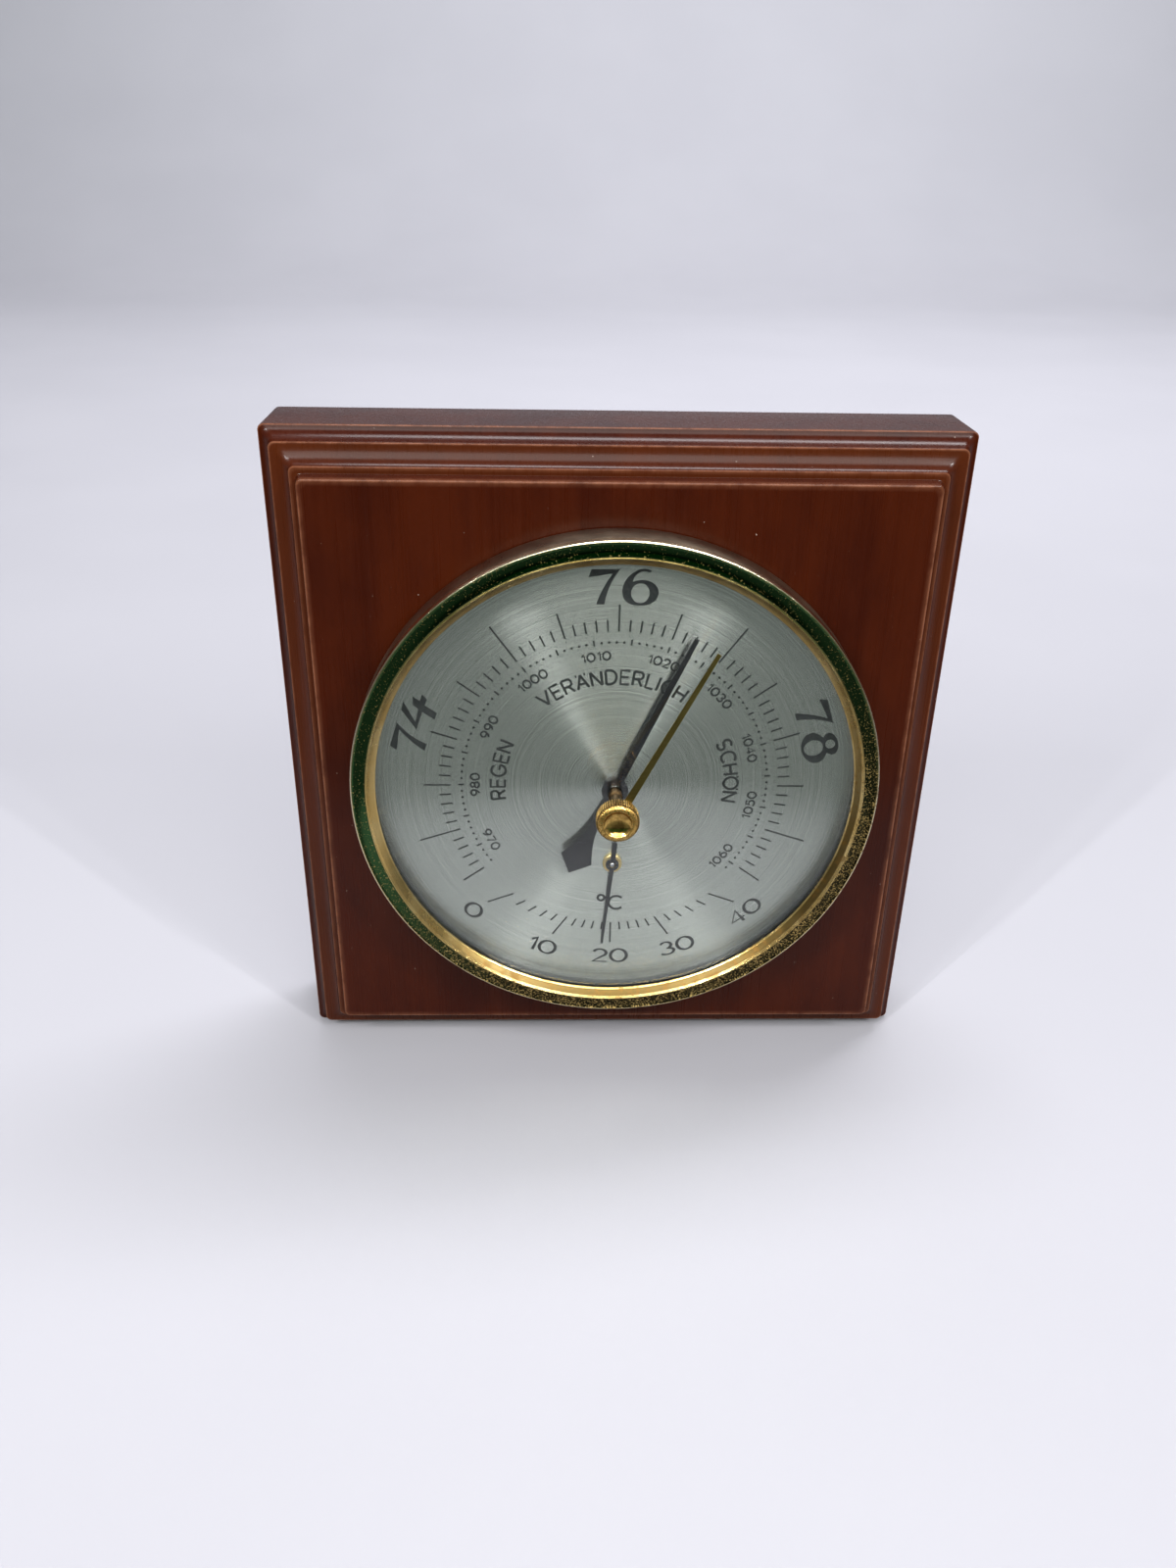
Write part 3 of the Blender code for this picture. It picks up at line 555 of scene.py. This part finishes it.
def build_case():
    bore = (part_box("movement_can")[1].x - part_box("movement_can")[0].x) / 2 / MM
    bore_r, rebate_r, rebate_h = bore - 3.9, 50.0, 3.0
    bm = bmesh.new()
    wear = bm.verts.layers.float.new("wear")
    # Weight of the painted light: the orange-brown tint on the second cove and its fillets.
    painted_light_tint = bm.verts.layers.float.new("painted_light_tint")

    def row(points, h, worn=0.0, painted_tint=0.0):
        made = []
        for x, y in points:
            vert = bm.verts.new(world(x, y, h))
            vert[wear], vert[painted_light_tint] = worn, painted_tint
            made.append(vert)
        return made

    rows = [row(case_outline(inset), h, worn, painted_tint) for inset, h, worn, painted_tint in case_levels()]
    angles = [math.atan2(y, x) for x, y in case_outline(0.0)]

    def circle(r, h, worn=0.0):
        return row([(r * math.cos(a), r * math.sin(a)) for a in angles], h, worn)

    rows += [circle(bore_r + 0.3, PANEL_H), circle(bore_r, PANEL_H - 0.3), circle(bore_r, rebate_h)]
    rows += [circle(rebate_r - 0.2, rebate_h), circle(rebate_r, rebate_h - 0.2)]
    rows += [circle(rebate_r, 0.35), circle(rebate_r + 0.35, 0.0, 0.3)]
    for low, high in zip(rows, rows[1:] + rows[:1]):
        for i in range(len(low)):
            j = (i + 1) % len(low)
            bm.faces.new((low[i], low[j], high[j], high[i]))
    finish(from_bmesh("case_wood", bm), "mahogany", "case", ("case_block",), angle=28.0)


# Bezel, glass, spacer and dial furniture


def arc(cx, cy, rx, ry, degrees):
    turns = [math.radians(v) for v in degrees]
    return [(cx + rx * math.cos(a), cy + ry * math.sin(a)) for a in turns]


def build_bezel():
    """A drawn brass ring: bead at the rim, nearly flat slope, bright lip down to the glass."""
    lip = 46.15
    low = back_of("bezel")
    under = BEZEL_R - 0.6
    profile = [(lip, 31.62), (lip, 31.85)]
    profile += [(lip + 0.12, 32.0), (lip + 0.3, 32.12), (47.45, 33.18)]
    profile += arc(47.75, 33.28, 0.2, 0.18, (160, 120, 90, 50, 10))
    profile += [(48.05, 33.22), (48.7, 33.1), (49.5, 33.02), (50.15, 33.05)]
    profile += arc(50.5, 32.98, 0.28, 0.22, (150, 110, 75, 40, 5))
    profile += [(BEZEL_R, 32.8), (BEZEL_R, 29.0), (BEZEL_R, low + 0.1), (BEZEL_R - 0.1, low)]
    profile += [(under, low), (under, 32.4), (48.1, 32.4), (47.0, 31.65), (lip + 0.1, 31.58)]
    lathe("bezel_ring", profile, "bezel_brass", "case", steps=256, replaces=("bezel",))


def build_glass_set():
    for node, slot, edge in (("cover_glass", "glass", 0.1), ("glass_spacer", "black_metal", 0.08)):
        low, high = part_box(node)
        outer = (high.x - low.x) / 2 / MM
        inner = 1.5 if node == "cover_glass" else 46.6
        profile = ring_profile(inner, outer, back_of(node), front_of(node), edge)
        lathe(node + "_fine", profile, slot, "case", steps=192, replaces=(node,))


def build_small_turnings():
    """Finer copies of the small turned pieces round the hands."""
    hub = [(0.9, 29.1), (1.2, 29.1), (1.2, 28.45), (2.55, 28.45), (2.55, 27.6), (0.9, 27.6)]
    hub = rounded(hub, 0.12)
    lathe("pointer_hub_fine", hub, "black_metal", "pressure_hand", (0, 0), 64, ("pointer_hub",))
    washer = ring_profile(1.1, 2.7, back_of("set_washer"), front_of("set_washer"), 0.08)
    lathe("set_washer_fine", washer, "black_metal", "set_pointer", (0, 0), 64, ("set_washer",))
    shaft = [(0, 41.7), (0.8, 41.7), (1.0, 41.5), (1.0, 33.1), (1.35, 32.7)]
    shaft += [(1.35, 31.6), (0.8, 31.55), (0.8, 29.5), (0, 29.5)]
    options = {"steps": 48, "replaces": ("set_shaft",), "material": AGED_BRASS}
    lathe("set_shaft_fine", shaft, "knob_brass", "set_pointer", **options)
    collet = [(0.75, 27.92), (1.93, 27.92), (1.93, 26.8), (0.95, 26.8), (0.95, 25.4), (0.75, 25.4)]
    place, collet = (0, THERMO_Y), rounded(collet, 0.15)
    lathe("thermo_collet_fine", collet, "movement_brass", "case", place, 48, ("thermo_collet",))


KNOB_TEETH, TOOTH_STEPS = 54, 6


def build_knob():
    """A dished knob with a knurled grip, dirt in the knurl and a bright rolled rim."""
    profile = [(0.0, 42.42), (0.7, 42.44), (1.3, 42.53), (1.85, 42.70), (2.3, 42.93), (2.55, 43.16)]
    profile += [(2.66, 43.30), (2.78, 43.38), (2.95, 43.39), (3.2, 43.33), (3.5, 43.18)]
    smooth = len(profile)
    profile += [(3.7, 43.05), (3.92, 42.88), (4.06, 42.72), (4.1, 42.55), (4.1, 40.75)]
    profile += [(4.06, 40.55), (3.92, 40.4)]
    grip = len(profile)
    profile += [(3.7, 40.35), (3.45, 40.4), (3.4, 40.9), (3.2, 41.05), (1.3, 41.05)]
    profile += [(1.3, 42.0), (0.0, 42.0)]
    steps = KNOB_TEETH * TOOTH_STEPS

    def knurl(index, i):
        if not smooth <= index < grip:
            return 0.0
        depth = 0.21 if index > smooth + 1 else 0.10
        return depth * (0.5 - 0.5 * math.cos(math.tau * i / TOOTH_STEPS)) ** 0.8

    options = {"steps": steps, "replaces": ("set_knob",), "knurl": knurl, "material": KNOB_BRASS}
    knob = lathe("knob_fine", profile, "knob_brass", "set_pointer", **options)
    dirt = knob.data.attributes.new("dirt", "FLOAT", "POINT")
    for vert, item in zip(knob.data.vertices, dirt.data):
        r = math.hypot(vert.co.x - AXIS.x, vert.co.z - AXIS.z) / MM
        h = -vert.co.y / MM
        item.value = max(0.0, min(1.0, (4.085 - r) / 0.16)) if r > 3.65 and h < 42.9 else 0.0


def knob_brass():
    s = Shade("knob_rim")
    cloud = s.noise(s.where(), 420.0, 4.0, 0.6)
    fine = s.noise(s.where(), 3400.0, 4.0, 0.7)
    radius = s.radius()
    rim = s.span(radius, 0.00250, 0.00280)
    specks = s.times(s.span(fine, 0.47, 0.56), rim)
    patina = s.times(s.span(cloud, 0.42, 0.60), s.math("SUBTRACT", 1.0, rim))
    colour = s.mix(s.span(cloud, 0.3, 0.7), (0.92, 0.60, 0.18), (0.74, 0.45, 0.12))
    colour = s.mix(s.times(specks, 0.75), colour, (0.16, 0.075, 0.02))
    colour = s.mix(s.times(patina, 0.7), colour, (0.20, 0.11, 0.03))
    dirt = s.attribute("dirt")
    colour = s.mix(s.times(dirt, 0.92), colour, (0.045, 0.026, 0.014))
    s.put("Base Color", colour)
    rough = s.add(0.17, s.times(specks, 0.30))
    s.put("Roughness", s.add(rough, s.times(dirt, 0.4)))
    s.put("Metallic", 1.0)
    s.bump(s.add(s.times(specks, -1.0), s.times(fine, 0.05)), 0.3, 0.00003)
    return s.material


KNOB_BRASS = knob_brass()


# Printed dial


def polar(r, angle, along=0.0):
    """A point at radius r and clock angle in degrees, moved along the clockwise tangent."""
    a = math.radians(angle)
    return (r * math.sin(a) + along * math.cos(a), r * math.cos(a) - along * math.sin(a))


def bow(cx, cy, rx, ry, start, end, steps=14):
    return arc(cx, cy, rx, ry, [start + (end - start) * i / steps for i in range(steps + 1)])


def bar(left, right, height):
    return [(left, height), (right, height)]


def stroke_letters():
    """Single-stroke letters in a box one unit high. Each is (width, strokes)."""
    s_top = bow(0.40, 0.735, 0.33, 0.265, 40, 270, 12)
    s_low = bow(0.40, 0.245, 0.35, 0.245, 90, -145, 12)
    oval = [bow(0.5, 0.5, 0.5, 0.5, 90, 450, 28)]
    stem, right = [(0.04, 0.0), (0.04, 1.0)], [(0.82, 0.0), (0.82, 1.0)]
    belly = [(0.04, 1.0), (0.32, 1.0)] + bow(0.34, 0.5, 0.50, 0.5, 90, -90, 14) + [(0.04, 0.0)]
    bowl = [(0.04, 1.0), (0.44, 1.0)] + bow(0.46, 0.735, 0.28, 0.265, 90, -90, 10) + [(0.04, 0.47)]
    three = [bow(0.42, 0.745, 0.36, 0.255, 150, -90, 12), bow(0.42, 0.25, 0.42, 0.25, 90, -155, 12)]
    five = [(0.82, 1.0), (0.20, 1.0), (0.10, 0.55)] + bow(0.42, 0.33, 0.44, 0.33, 125, -150, 14)
    six = [bow(0.47, 0.31, 0.43, 0.31, 0, 360, 20), bow(0.86, 0.31, 0.82, 0.72, 180, 108, 10)]
    eight = [bow(0.47, 0.26, 0.45, 0.26, 90, 450, 20), bow(0.47, 0.76, 0.35, 0.24, 90, 450, 18)]
    nine = [bow(0.47, 0.69, 0.43, 0.31, 0, 360, 20), bow(0.08, 0.69, 0.82, 0.72, 0, -72, 10)]
    return {
        "0": (1.0, oval),
        "1": (0.5, [[(0.12, 0.76), (0.42, 1.0), (0.42, 0.0)]]),
        "2": (0.9, [bow(0.44, 0.70, 0.40, 0.30, 165, -25, 12) + [(0.04, 0.0), (0.88, 0.0)]]),
        "3": (0.9, three),
        "4": (0.95, [[(0.70, 0.0), (0.70, 1.0), (0.02, 0.28), (0.95, 0.28)]]),
        "5": (0.9, [five]),
        "6": (0.95, six),
        "7": (0.9, [[(0.04, 1.0), (0.88, 1.0), (0.30, 0.0)]]),
        "8": (0.95, eight),
        "9": (0.95, nine),
        "A": (0.92, [[(0.0, 0.0), (0.46, 1.0)], [(0.46, 1.0), (0.92, 0.0)], bar(0.16, 0.76, 0.34)]),
        "C": (0.9, [bow(0.52, 0.5, 0.50, 0.5, 45, 315, 20)]),
        "D": (0.88, [stem, belly]),
        "E": (0.72, [[(0.70, 1.0), (0.04, 1.0), (0.04, 0.0), (0.72, 0.0)], bar(0.04, 0.64, 0.52)]),
        "G": (0.98, [bow(0.52, 0.5, 0.50, 0.5, 45, 340, 20) + [(0.99, 0.46), (0.56, 0.46)]]),
        "H": (0.86, [stem, right, bar(0.04, 0.82, 0.52)]),
        "I": (0.12, [[(0.06, 0.0), (0.06, 1.0)]]),
        "L": (0.66, [[(0.04, 1.0), (0.04, 0.0), (0.66, 0.0)]]),
        "N": (0.86, [stem, [(0.04, 1.0), (0.82, 0.0)], right]),
        "O": (1.04, [bow(0.52, 0.5, 0.52, 0.5, 90, 450, 28)]),
        "R": (0.80, [stem, bowl, [(0.42, 0.47), (0.78, 0.0)]]),
        "S": (0.80, [s_top + s_low[1:]]),
        "V": (0.88, [[(0.0, 1.0), (0.44, 0.0)], [(0.44, 0.0), (0.88, 1.0)]]),
        " ": (0.4, []),
    }


LETTERS = stroke_letters()
UMLAUT = {"A": (0.14, 0.78), "O": (0.0, 1.04)}  # where each letter's two dots stand
DOT_HALF, DOT_V = 0.055, 0.99


def pen(points, stress):
    """The width of a stroke at each point, heavier where it runs upright as a pen's does."""
    if not stress:
        return [1.0] * len(points)
    widths = []
    for i in range(len(points)):
        a, b = points[max(i - 1, 0)], points[min(i + 1, len(points) - 1)]
        length = math.dist(a, b) or 1.0
        widths.append(1.0 - stress + 2.0 * stress * abs(b[1] - a[1]) / length)
    return widths


def arc_text(text, radius, angle, height, stretch, gap, flipped=False, stress=0.0):
    """Strokes of a word along a circle. A : puts two dots by the top of the letter before it."""
    total, places = 0.0, []
    for letter in text:
        if letter == ":":
            places.append((UMLAUT[places[-1][0]], places[-1][1]))
            continue
        places.append((letter, total))
        total += LETTERS[letter][0] * height * stretch + gap
    total -= gap
    strokes = []
    turn = -1.0 if flipped else 1.0
    for letter, start in places:
        if isinstance(letter, tuple):
            shapes = [bar(u - DOT_HALF, u + DOT_HALF, DOT_V) for u in letter]
        else:
            shapes = LETTERS[letter][1]
        for stroke in shapes:
            points = []
            for (u, v), weight in zip(stroke, pen(stroke, stress)):
                along = start + u * height * stretch - total / 2.0
                r = radius + turn * (v - 0.5) * height
                points.append((*polar(r, angle + turn * math.degrees(along / radius)), weight))
            strokes.append(points)
    return strokes


def straight_text(text, x, y, height, stretch, gap):
    strokes, start = [], x
    for letter in text:
        width, shapes = LETTERS[letter]
        for stroke in shapes:
            points = [(start + u * height * stretch, y + (v - 0.5) * height) for u, v in stroke]
            strokes.append(points)
        start += width * height * stretch + gap
    return strokes


INK_H = DIAL_H + 0.012
INK_HALF_THICK = 0.008
FLATTEN = 0.12


def lay_ink(name, curve, flatten):
    """Turns a flat curve into an ink mesh on the dial."""
    temp = in_scene(name, curve)
    bpy.context.view_layer.update()
    drawn = temp.evaluated_get(bpy.context.evaluated_depsgraph_get())
    mesh = bpy.data.meshes.new_from_object(drawn)
    bpy.data.objects.remove(temp, do_unlink=True)
    for vert in mesh.vertices:
        x, y, h = vert.co / MM
        vert.co = world(x, y, INK_H + h * flatten)
    finish(in_scene(name, mesh), "black_metal", "case", material=INK)


def print_strokes(name, strokes, width):
    """Ink lines of one width, as flattened tubes that lie on the dial."""
    curve = bpy.data.curves.new(name, "CURVE")
    curve.dimensions = "3D"
    curve.bevel_depth = width / 2.0 * MM
    curve.bevel_resolution = 1
    curve.use_fill_caps = True
    for points in strokes:
        spline = curve.splines.new("POLY")
        closed = len(points) > 8 and math.dist(points[0][:2], points[-1][:2]) < 1e-6
        points = points[:-1] if closed else points
        spline.points.add(len(points) - 1)
        spline.use_cyclic_u = closed
        for point, (x, y, *weight) in zip(spline.points, points):
            point.co = (x * MM, y * MM, 0.0, 1.0)
            point.radius = weight[0] if weight else 1.0
    lay_ink(name, curve, FLATTEN)


def print_shapes(name, shapes):
    """Solid ink shapes. Each is a list of outlines, the first outside and the others holes."""
    curve = bpy.data.curves.new(name, "CURVE")
    curve.dimensions = "2D"
    curve.fill_mode = "BOTH"
    curve.extrude = INK_HALF_THICK * MM
    for outlines in shapes:
        for points in outlines:
            spline = curve.splines.new("POLY")
            spline.points.add(len(points) - 1)
            spline.use_cyclic_u = True
            for point, (x, y) in zip(spline.points, points):
                point.co = (x * MM, y * MM, 0.0, 1.0)
    lay_ink(name, curve, 1.0)


def smooth_line(points, steps=5):
    """An open Catmull-Rom curve through the points."""
    ends = [tuple(2 * Vector(points[0]) - Vector(points[1]))] + list(points)
    ends += [tuple(2 * Vector(points[-1]) - Vector(points[-2]))]
    out = []
    for i in range(1, len(ends) - 2):
        p0, p1, p2, p3 = (Vector(ends[i + k - 1]) for k in range(4))
        for k in range(steps):
            t = k / steps
            square, cube = 2 * p0 - 5 * p1 + 4 * p2 - p3, 3 * p1 - p0 - 3 * p2 + p3
            out.append(tuple(0.5 * (2 * p1 + (p2 - p0) * t + square * t**2 + cube * t**3)))
    return out + [tuple(points[-1])]


def broad_pen_digits():
    """Heavy digits drawn as with a broad pen, by their height above the dial's centre."""
    seven = [(-5.78, 42.12), (-5.22, 43.6), (-0.55, 43.58), (-0.05, 43.76)]
    down = [(-0.05, 43.76), (-0.75, 42.72), (-1.55, 41.3), (-2.1, 40.0), (-2.5, 38.6)]
    down += [(-2.82, 37.08)]
    up = [(-4.3, 37.08), (-3.95, 38.1), (-3.2, 39.8), (-2.4, 41.3), (-1.42, 42.82)]
    seven += smooth_line(down)[1:]
    seven += [up[0]] + smooth_line(up)[1:]
    seven += [(-2.6, 42.66), (-4.2, 42.36)]
    six = [(5.5, 43.12), (5.36, 43.5), (4.3, 43.74), (3.1, 43.5), (1.9, 42.75), (0.95, 41.6)]
    six += [(0.42, 40.2), (0.45, 38.9), (1.0, 37.8), (2.1, 37.12), (3.7, 36.92), (5.3, 37.15)]
    six += [(6.45, 37.95), (6.95, 39.2), (6.65, 40.4)]
    six += [(5.75, 41.25), (4.4, 41.66), (3.1, 41.6), (2.3, 41.38)]
    curl = [(2.22, 41.42), (2.45, 42.05), (2.95, 42.75), (3.7, 43.2), (4.5, 43.28), (5.1, 43.12)]
    six = smooth_line(six) + smooth_line(curl)
    four = [(2.62, 43.5), (4.42, 43.56), (1.02, 40.32), (3.84, 40.56), (4.3, 41.72), (5.98, 42.2)]
    four += [(5.44, 40.68), (6.9, 40.62), (6.25, 39.52), (4.86, 39.58), (4.1, 37.02), (2.64, 37.04)]
    four += [(3.42, 39.68), (-0.5, 39.72), (0.05, 40.28)]
    eight = bow(3.95, 39.0, 3.3, 2.42, 124, 416, 30) + bow(4.0, 42.22, 2.4, 1.42, -42, 222, 26)
    ring = bow(3.66, 39.22, 1.66, 1.86, 90, 440, 26)
    low_ring = bow(3.92, 38.9, 1.66, 1.84, 90, 440, 26)
    top_ring = bow(4.05, 42.15, 0.95, 0.93, 90, 430, 18)
    return {"7": [seven], "6": [six, ring], "4": [four], "8": [eight, low_ring, top_ring]}


PRESSURE_TURN = 3.6  # degrees of the dial for each mmHg
MBAR_TO_MMHG = 0.750062
TOP_MMHG, TOP_MBAR = 760, 1013.25
TICK_IN, TICK_SHORT, TICK_MIDDLE, TICK_LONG = 32.0, 34.2, 37.1, 40.3
THERMO_TURN, THERMO_TOP = 3.51, 20  # degrees of the dial for each degree C, about the middle of 20


def pressure_ticks():
    ticks = []
    for pressure in range(725, 796):
        angle = (pressure - TOP_MMHG) * PRESSURE_TURN
        outer = TICK_SHORT
        if pressure % 5 == 0:
            outer = TICK_MIDDLE
        if pressure % 10 == 0:
            outer = TICK_MIDDLE if (pressure // 10) % 2 == 0 else TICK_LONG
        ticks.append([polar(TICK_IN, angle), polar(outer, angle)])
    return ticks


def mbar_angle(millibar):
    return (millibar - TOP_MBAR) * PRESSURE_TURN * MBAR_TO_MMHG


def millibar_scale():
    """The strokes of the mbar ticks and numbers, and the round dots between them."""
    strokes, dots = [], []
    for millibar in range(967, 1061 + 1):
        angle = mbar_angle(millibar)
        if millibar % 5 == 0:
            strokes.append([polar(29.35, angle), polar(30.5, angle)])
        else:
            dots.append([bow(*polar(29.85, angle), 0.25, 0.25, 0, 340, 10)])
    for millibar in range(970, 1061, 10):
        angle = mbar_angle(millibar)
        low_down = abs(angle) > 95
        strokes += arc_text(str(millibar), 27.3, angle, 1.62, 0.86, 0.42, flipped=low_down)
    return strokes, dots


def thermometer_ticks():
    """Ticks that point at the thermometer's own axis and end on circles round the dial's."""
    ticks = []
    for degree in range(0, 41, 2):
        lean = math.radians((degree - THERMO_TOP) * THERMO_TURN)
        dx, dy = math.sin(lean), -math.cos(lean)
        ends = []
        for limit in (32.1, 37.0 if degree % 10 == 0 else 33.95):
            middle = THERMO_Y * dy
            reach = -middle + math.sqrt(middle**2 - THERMO_Y**2 + limit**2)
            ends.append((reach * dx, THERMO_Y + reach * dy))
        ticks.append(ends)
    return ticks


def turned(outline, degrees):
    a = math.radians(degrees)
    cos, sin = math.cos(a), math.sin(a)
    return [(x * cos + y * sin, -x * sin + y * cos) for x, y in outline]


def print_dial():
    fine, dots = millibar_scale()
    words = arc_text("REGEN", 22.9, -81.8, 2.75, 0.92, 0.62)
    words += arc_text("VERA:NDERLICH", 23.0, -2.6, 2.75, 0.90, 0.62)
    words += arc_text("SCHO:N", 22.9, 81.6, 2.75, 0.92, 0.62)
    numbers = []
    places = (("0", -135.8), ("10", -159.4), ("20", 180.0), ("30", 159.8), ("40", 136.8))
    for text, angle in places:
        numbers += arc_text(text, 40.4, angle, 3.1, 1.08, 0.75, flipped=True, stress=0.38)
    numbers += straight_text("C", -0.55, -27.35, 3.1, 1.0, 0.0)
    numbers.append(bow(-2.1, -26.2, 0.68, 0.68, 0, 360, 18))
    print_strokes("print_pressure_ticks", pressure_ticks(), 0.34)
    print_strokes("print_millibar", fine, 0.35)
    print_strokes("print_words", words, 0.48)
    print_strokes("print_thermometer_ticks", thermometer_ticks(), 0.34)
    print_strokes("print_thermometer_numbers", numbers, 0.50)
    print_shapes("print_millibar_dots", dots)
    digits = broad_pen_digits()
    shapes = []
    for text, angle in (("74", -72.0), ("76", 0.0), ("78", 72.0)):
        for digit in text:
            shapes.append([turned(outline, angle) for outline in digits[digit]])
    print_shapes("print_numerals", shapes)


build_case()
build_bezel()
build_glass_set()
build_small_turnings()
build_knob()
print_dial()


# Floor, light and camera


STAGE_REACH, STAGE_RISE, STAGE_HALF_W = 2.6, 2.2, 3.0
STAGE_BACK, STAGE_CURVE, STAGE_STEPS = 1.3, 0.7, 12
PAINT = ((0.39, 0.385, 0.42), (0.405, 0.40, 0.435))
# Floor colours seen only in reflections: painted shade.
PAINT_REFLECTED = ((0.21, 0.21, 0.225), (0.23, 0.23, 0.245))
SHADE_IN_FRONT_REFLECTED = (0.018, 0.024, 0.020)
BACKDROP = (0.60, 0.60, 0.67)
ROOM = (0.26, 0.27, 0.29)
ROOM_IN_FRONT = (0.020, 0.085, 0.030)
KEY_PLACE, KEY_SIZE, KEY_POWER = (0.02, -0.51, 0.38), (0.56, 0.40), 3.1
STRIP_Y, STRIP_Z, STRIP_SIZE = -0.46, 0.38, (0.010, 0.22)
STRIPS = ((-0.37, 1.9), (-0.31, 0.8), (0.36, 0.8), (0.42, 1.9))


def build_stage():
    """A floor that curves up into a backdrop, in metres. Reflections see it darker: painted shade.
    """
    floor_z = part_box("case_block")[0].z
    bm = bmesh.new()
    line = [(-STAGE_REACH, floor_z)]
    for i in range(STAGE_STEPS + 1):
        a = math.radians(90.0 * i / STAGE_STEPS)
        y = STAGE_BACK + STAGE_CURVE * math.sin(a)
        line.append((y, floor_z + STAGE_CURVE * (1 - math.cos(a))))
    line.append((STAGE_BACK + STAGE_CURVE, floor_z + STAGE_RISE))
    left = [bm.verts.new((-STAGE_HALF_W, y, z)) for y, z in line]
    right = [bm.verts.new((STAGE_HALF_W, y, z)) for y, z in line]
    for i in range(len(line) - 1):
        bm.faces.new((left[i], right[i], right[i + 1], left[i + 1]))
    floor = from_bmesh("stage_floor", bm)
    s = Shade("stage_paint")
    cloud = s.noise(s.where(), 5.0, 3.0, 0.5)
    mottle = s.span(cloud, 0.3, 0.7)
    paint = s.mix(mottle, *PAINT)
    # Painted shade seen only in reflections: a dimmer floor, near black in front of the case.
    dim = s.mix(mottle, *PAINT_REFLECTED)
    _, y, _ = s.axes()
    dim = s.mix(s.span(y, -0.122, -0.155), dim, SHADE_IN_FRONT_REFLECTED)
    path = s.node("ShaderNodeLightPath")
    direct = s.math("MAXIMUM", path.outputs["Is Camera Ray"], path.outputs["Is Diffuse Ray"])
    s.put("Base Color", s.mix(direct, dim, paint))
    s.put("Roughness", 0.75)
    floor.data.materials.append(s.material)
    floor.data.shade_smooth()


def area(name, place, target, size, power, colour=(1.0, 1.0, 1.0)):
    """A rectangular light that the camera doesn't see."""
    light = bpy.data.lights.new(name, "AREA")
    light.shape = "RECTANGLE"
    light.size, light.size_y = size
    light.energy = power
    light.color = colour
    obj = in_scene(name, light)
    obj.location = place
    aim = Vector(target) - Vector(place)
    obj.rotation_euler = aim.to_track_quat("-Z", "Y").to_euler()
    obj.visible_camera = False


def build_lights():
    """A panel overhead, strips for the streaks on the spun dial, and a fill on the backdrop."""
    centre = world(0, 0, PANEL_H)
    area("key_overhead", KEY_PLACE, centre, KEY_SIZE, KEY_POWER, (1.0, 0.99, 0.96))
    for number, (x, power) in enumerate(STRIPS):
        area(f"strip_{number}", (x, STRIP_Y, STRIP_Z), centre, STRIP_SIZE, power)
    area("back_fill", (0.3, 0.5, 1.3), (0.0, 1.6, 0.3), (1.2, 0.9), 46.0, (0.97, 0.97, 1.0))
    scene_world = bpy.data.worlds.new("studio")
    scene_world.use_nodes = True
    n = Nodes(scene_world.node_tree)
    split = n.node("ShaderNodeSeparateXYZ")
    n.link(n.node("ShaderNodeTexCoord").outputs["Generated"], split.inputs[0])
    front = n.span(split.outputs[1], -0.80, -0.45, 1.0, 0.0)
    room = n.mix(front, ROOM, ROOM_IN_FRONT)
    seen = n.node("ShaderNodeLightPath").outputs["Is Camera Ray"]
    n.link(n.mix(seen, room, BACKDROP), n.tree.nodes["Background"].inputs["Color"])
    bpy.context.scene.world = scene_world
    bpy.context.scene.view_settings.view_transform = "Standard"


def build_camera():
    """The photo's camera, fitted to the corners of the case and the rim of the bezel."""
    data = bpy.data.cameras.new("camera")
    data.sensor_width = 36.0
    data.lens = 28.34
    data.clip_start = 0.005
    camera = in_scene("camera", data)
    forward = Vector((0.0294, 0.8830, -0.4685)).normalized()
    right = Vector((0.99956, -0.02464, 0.01637)).normalized()
    up = right.cross(forward).normalized()
    right = forward.cross(up).normalized()
    turn = Matrix((right, up, -forward)).transposed()
    place = world(-12.305, 113.65, EDGE_H + 225.19)
    camera.matrix_world = Matrix.Translation(place) @ turn.to_4x4()
    bpy.context.scene.camera = camera


build_stage()
build_lights()
build_camera()
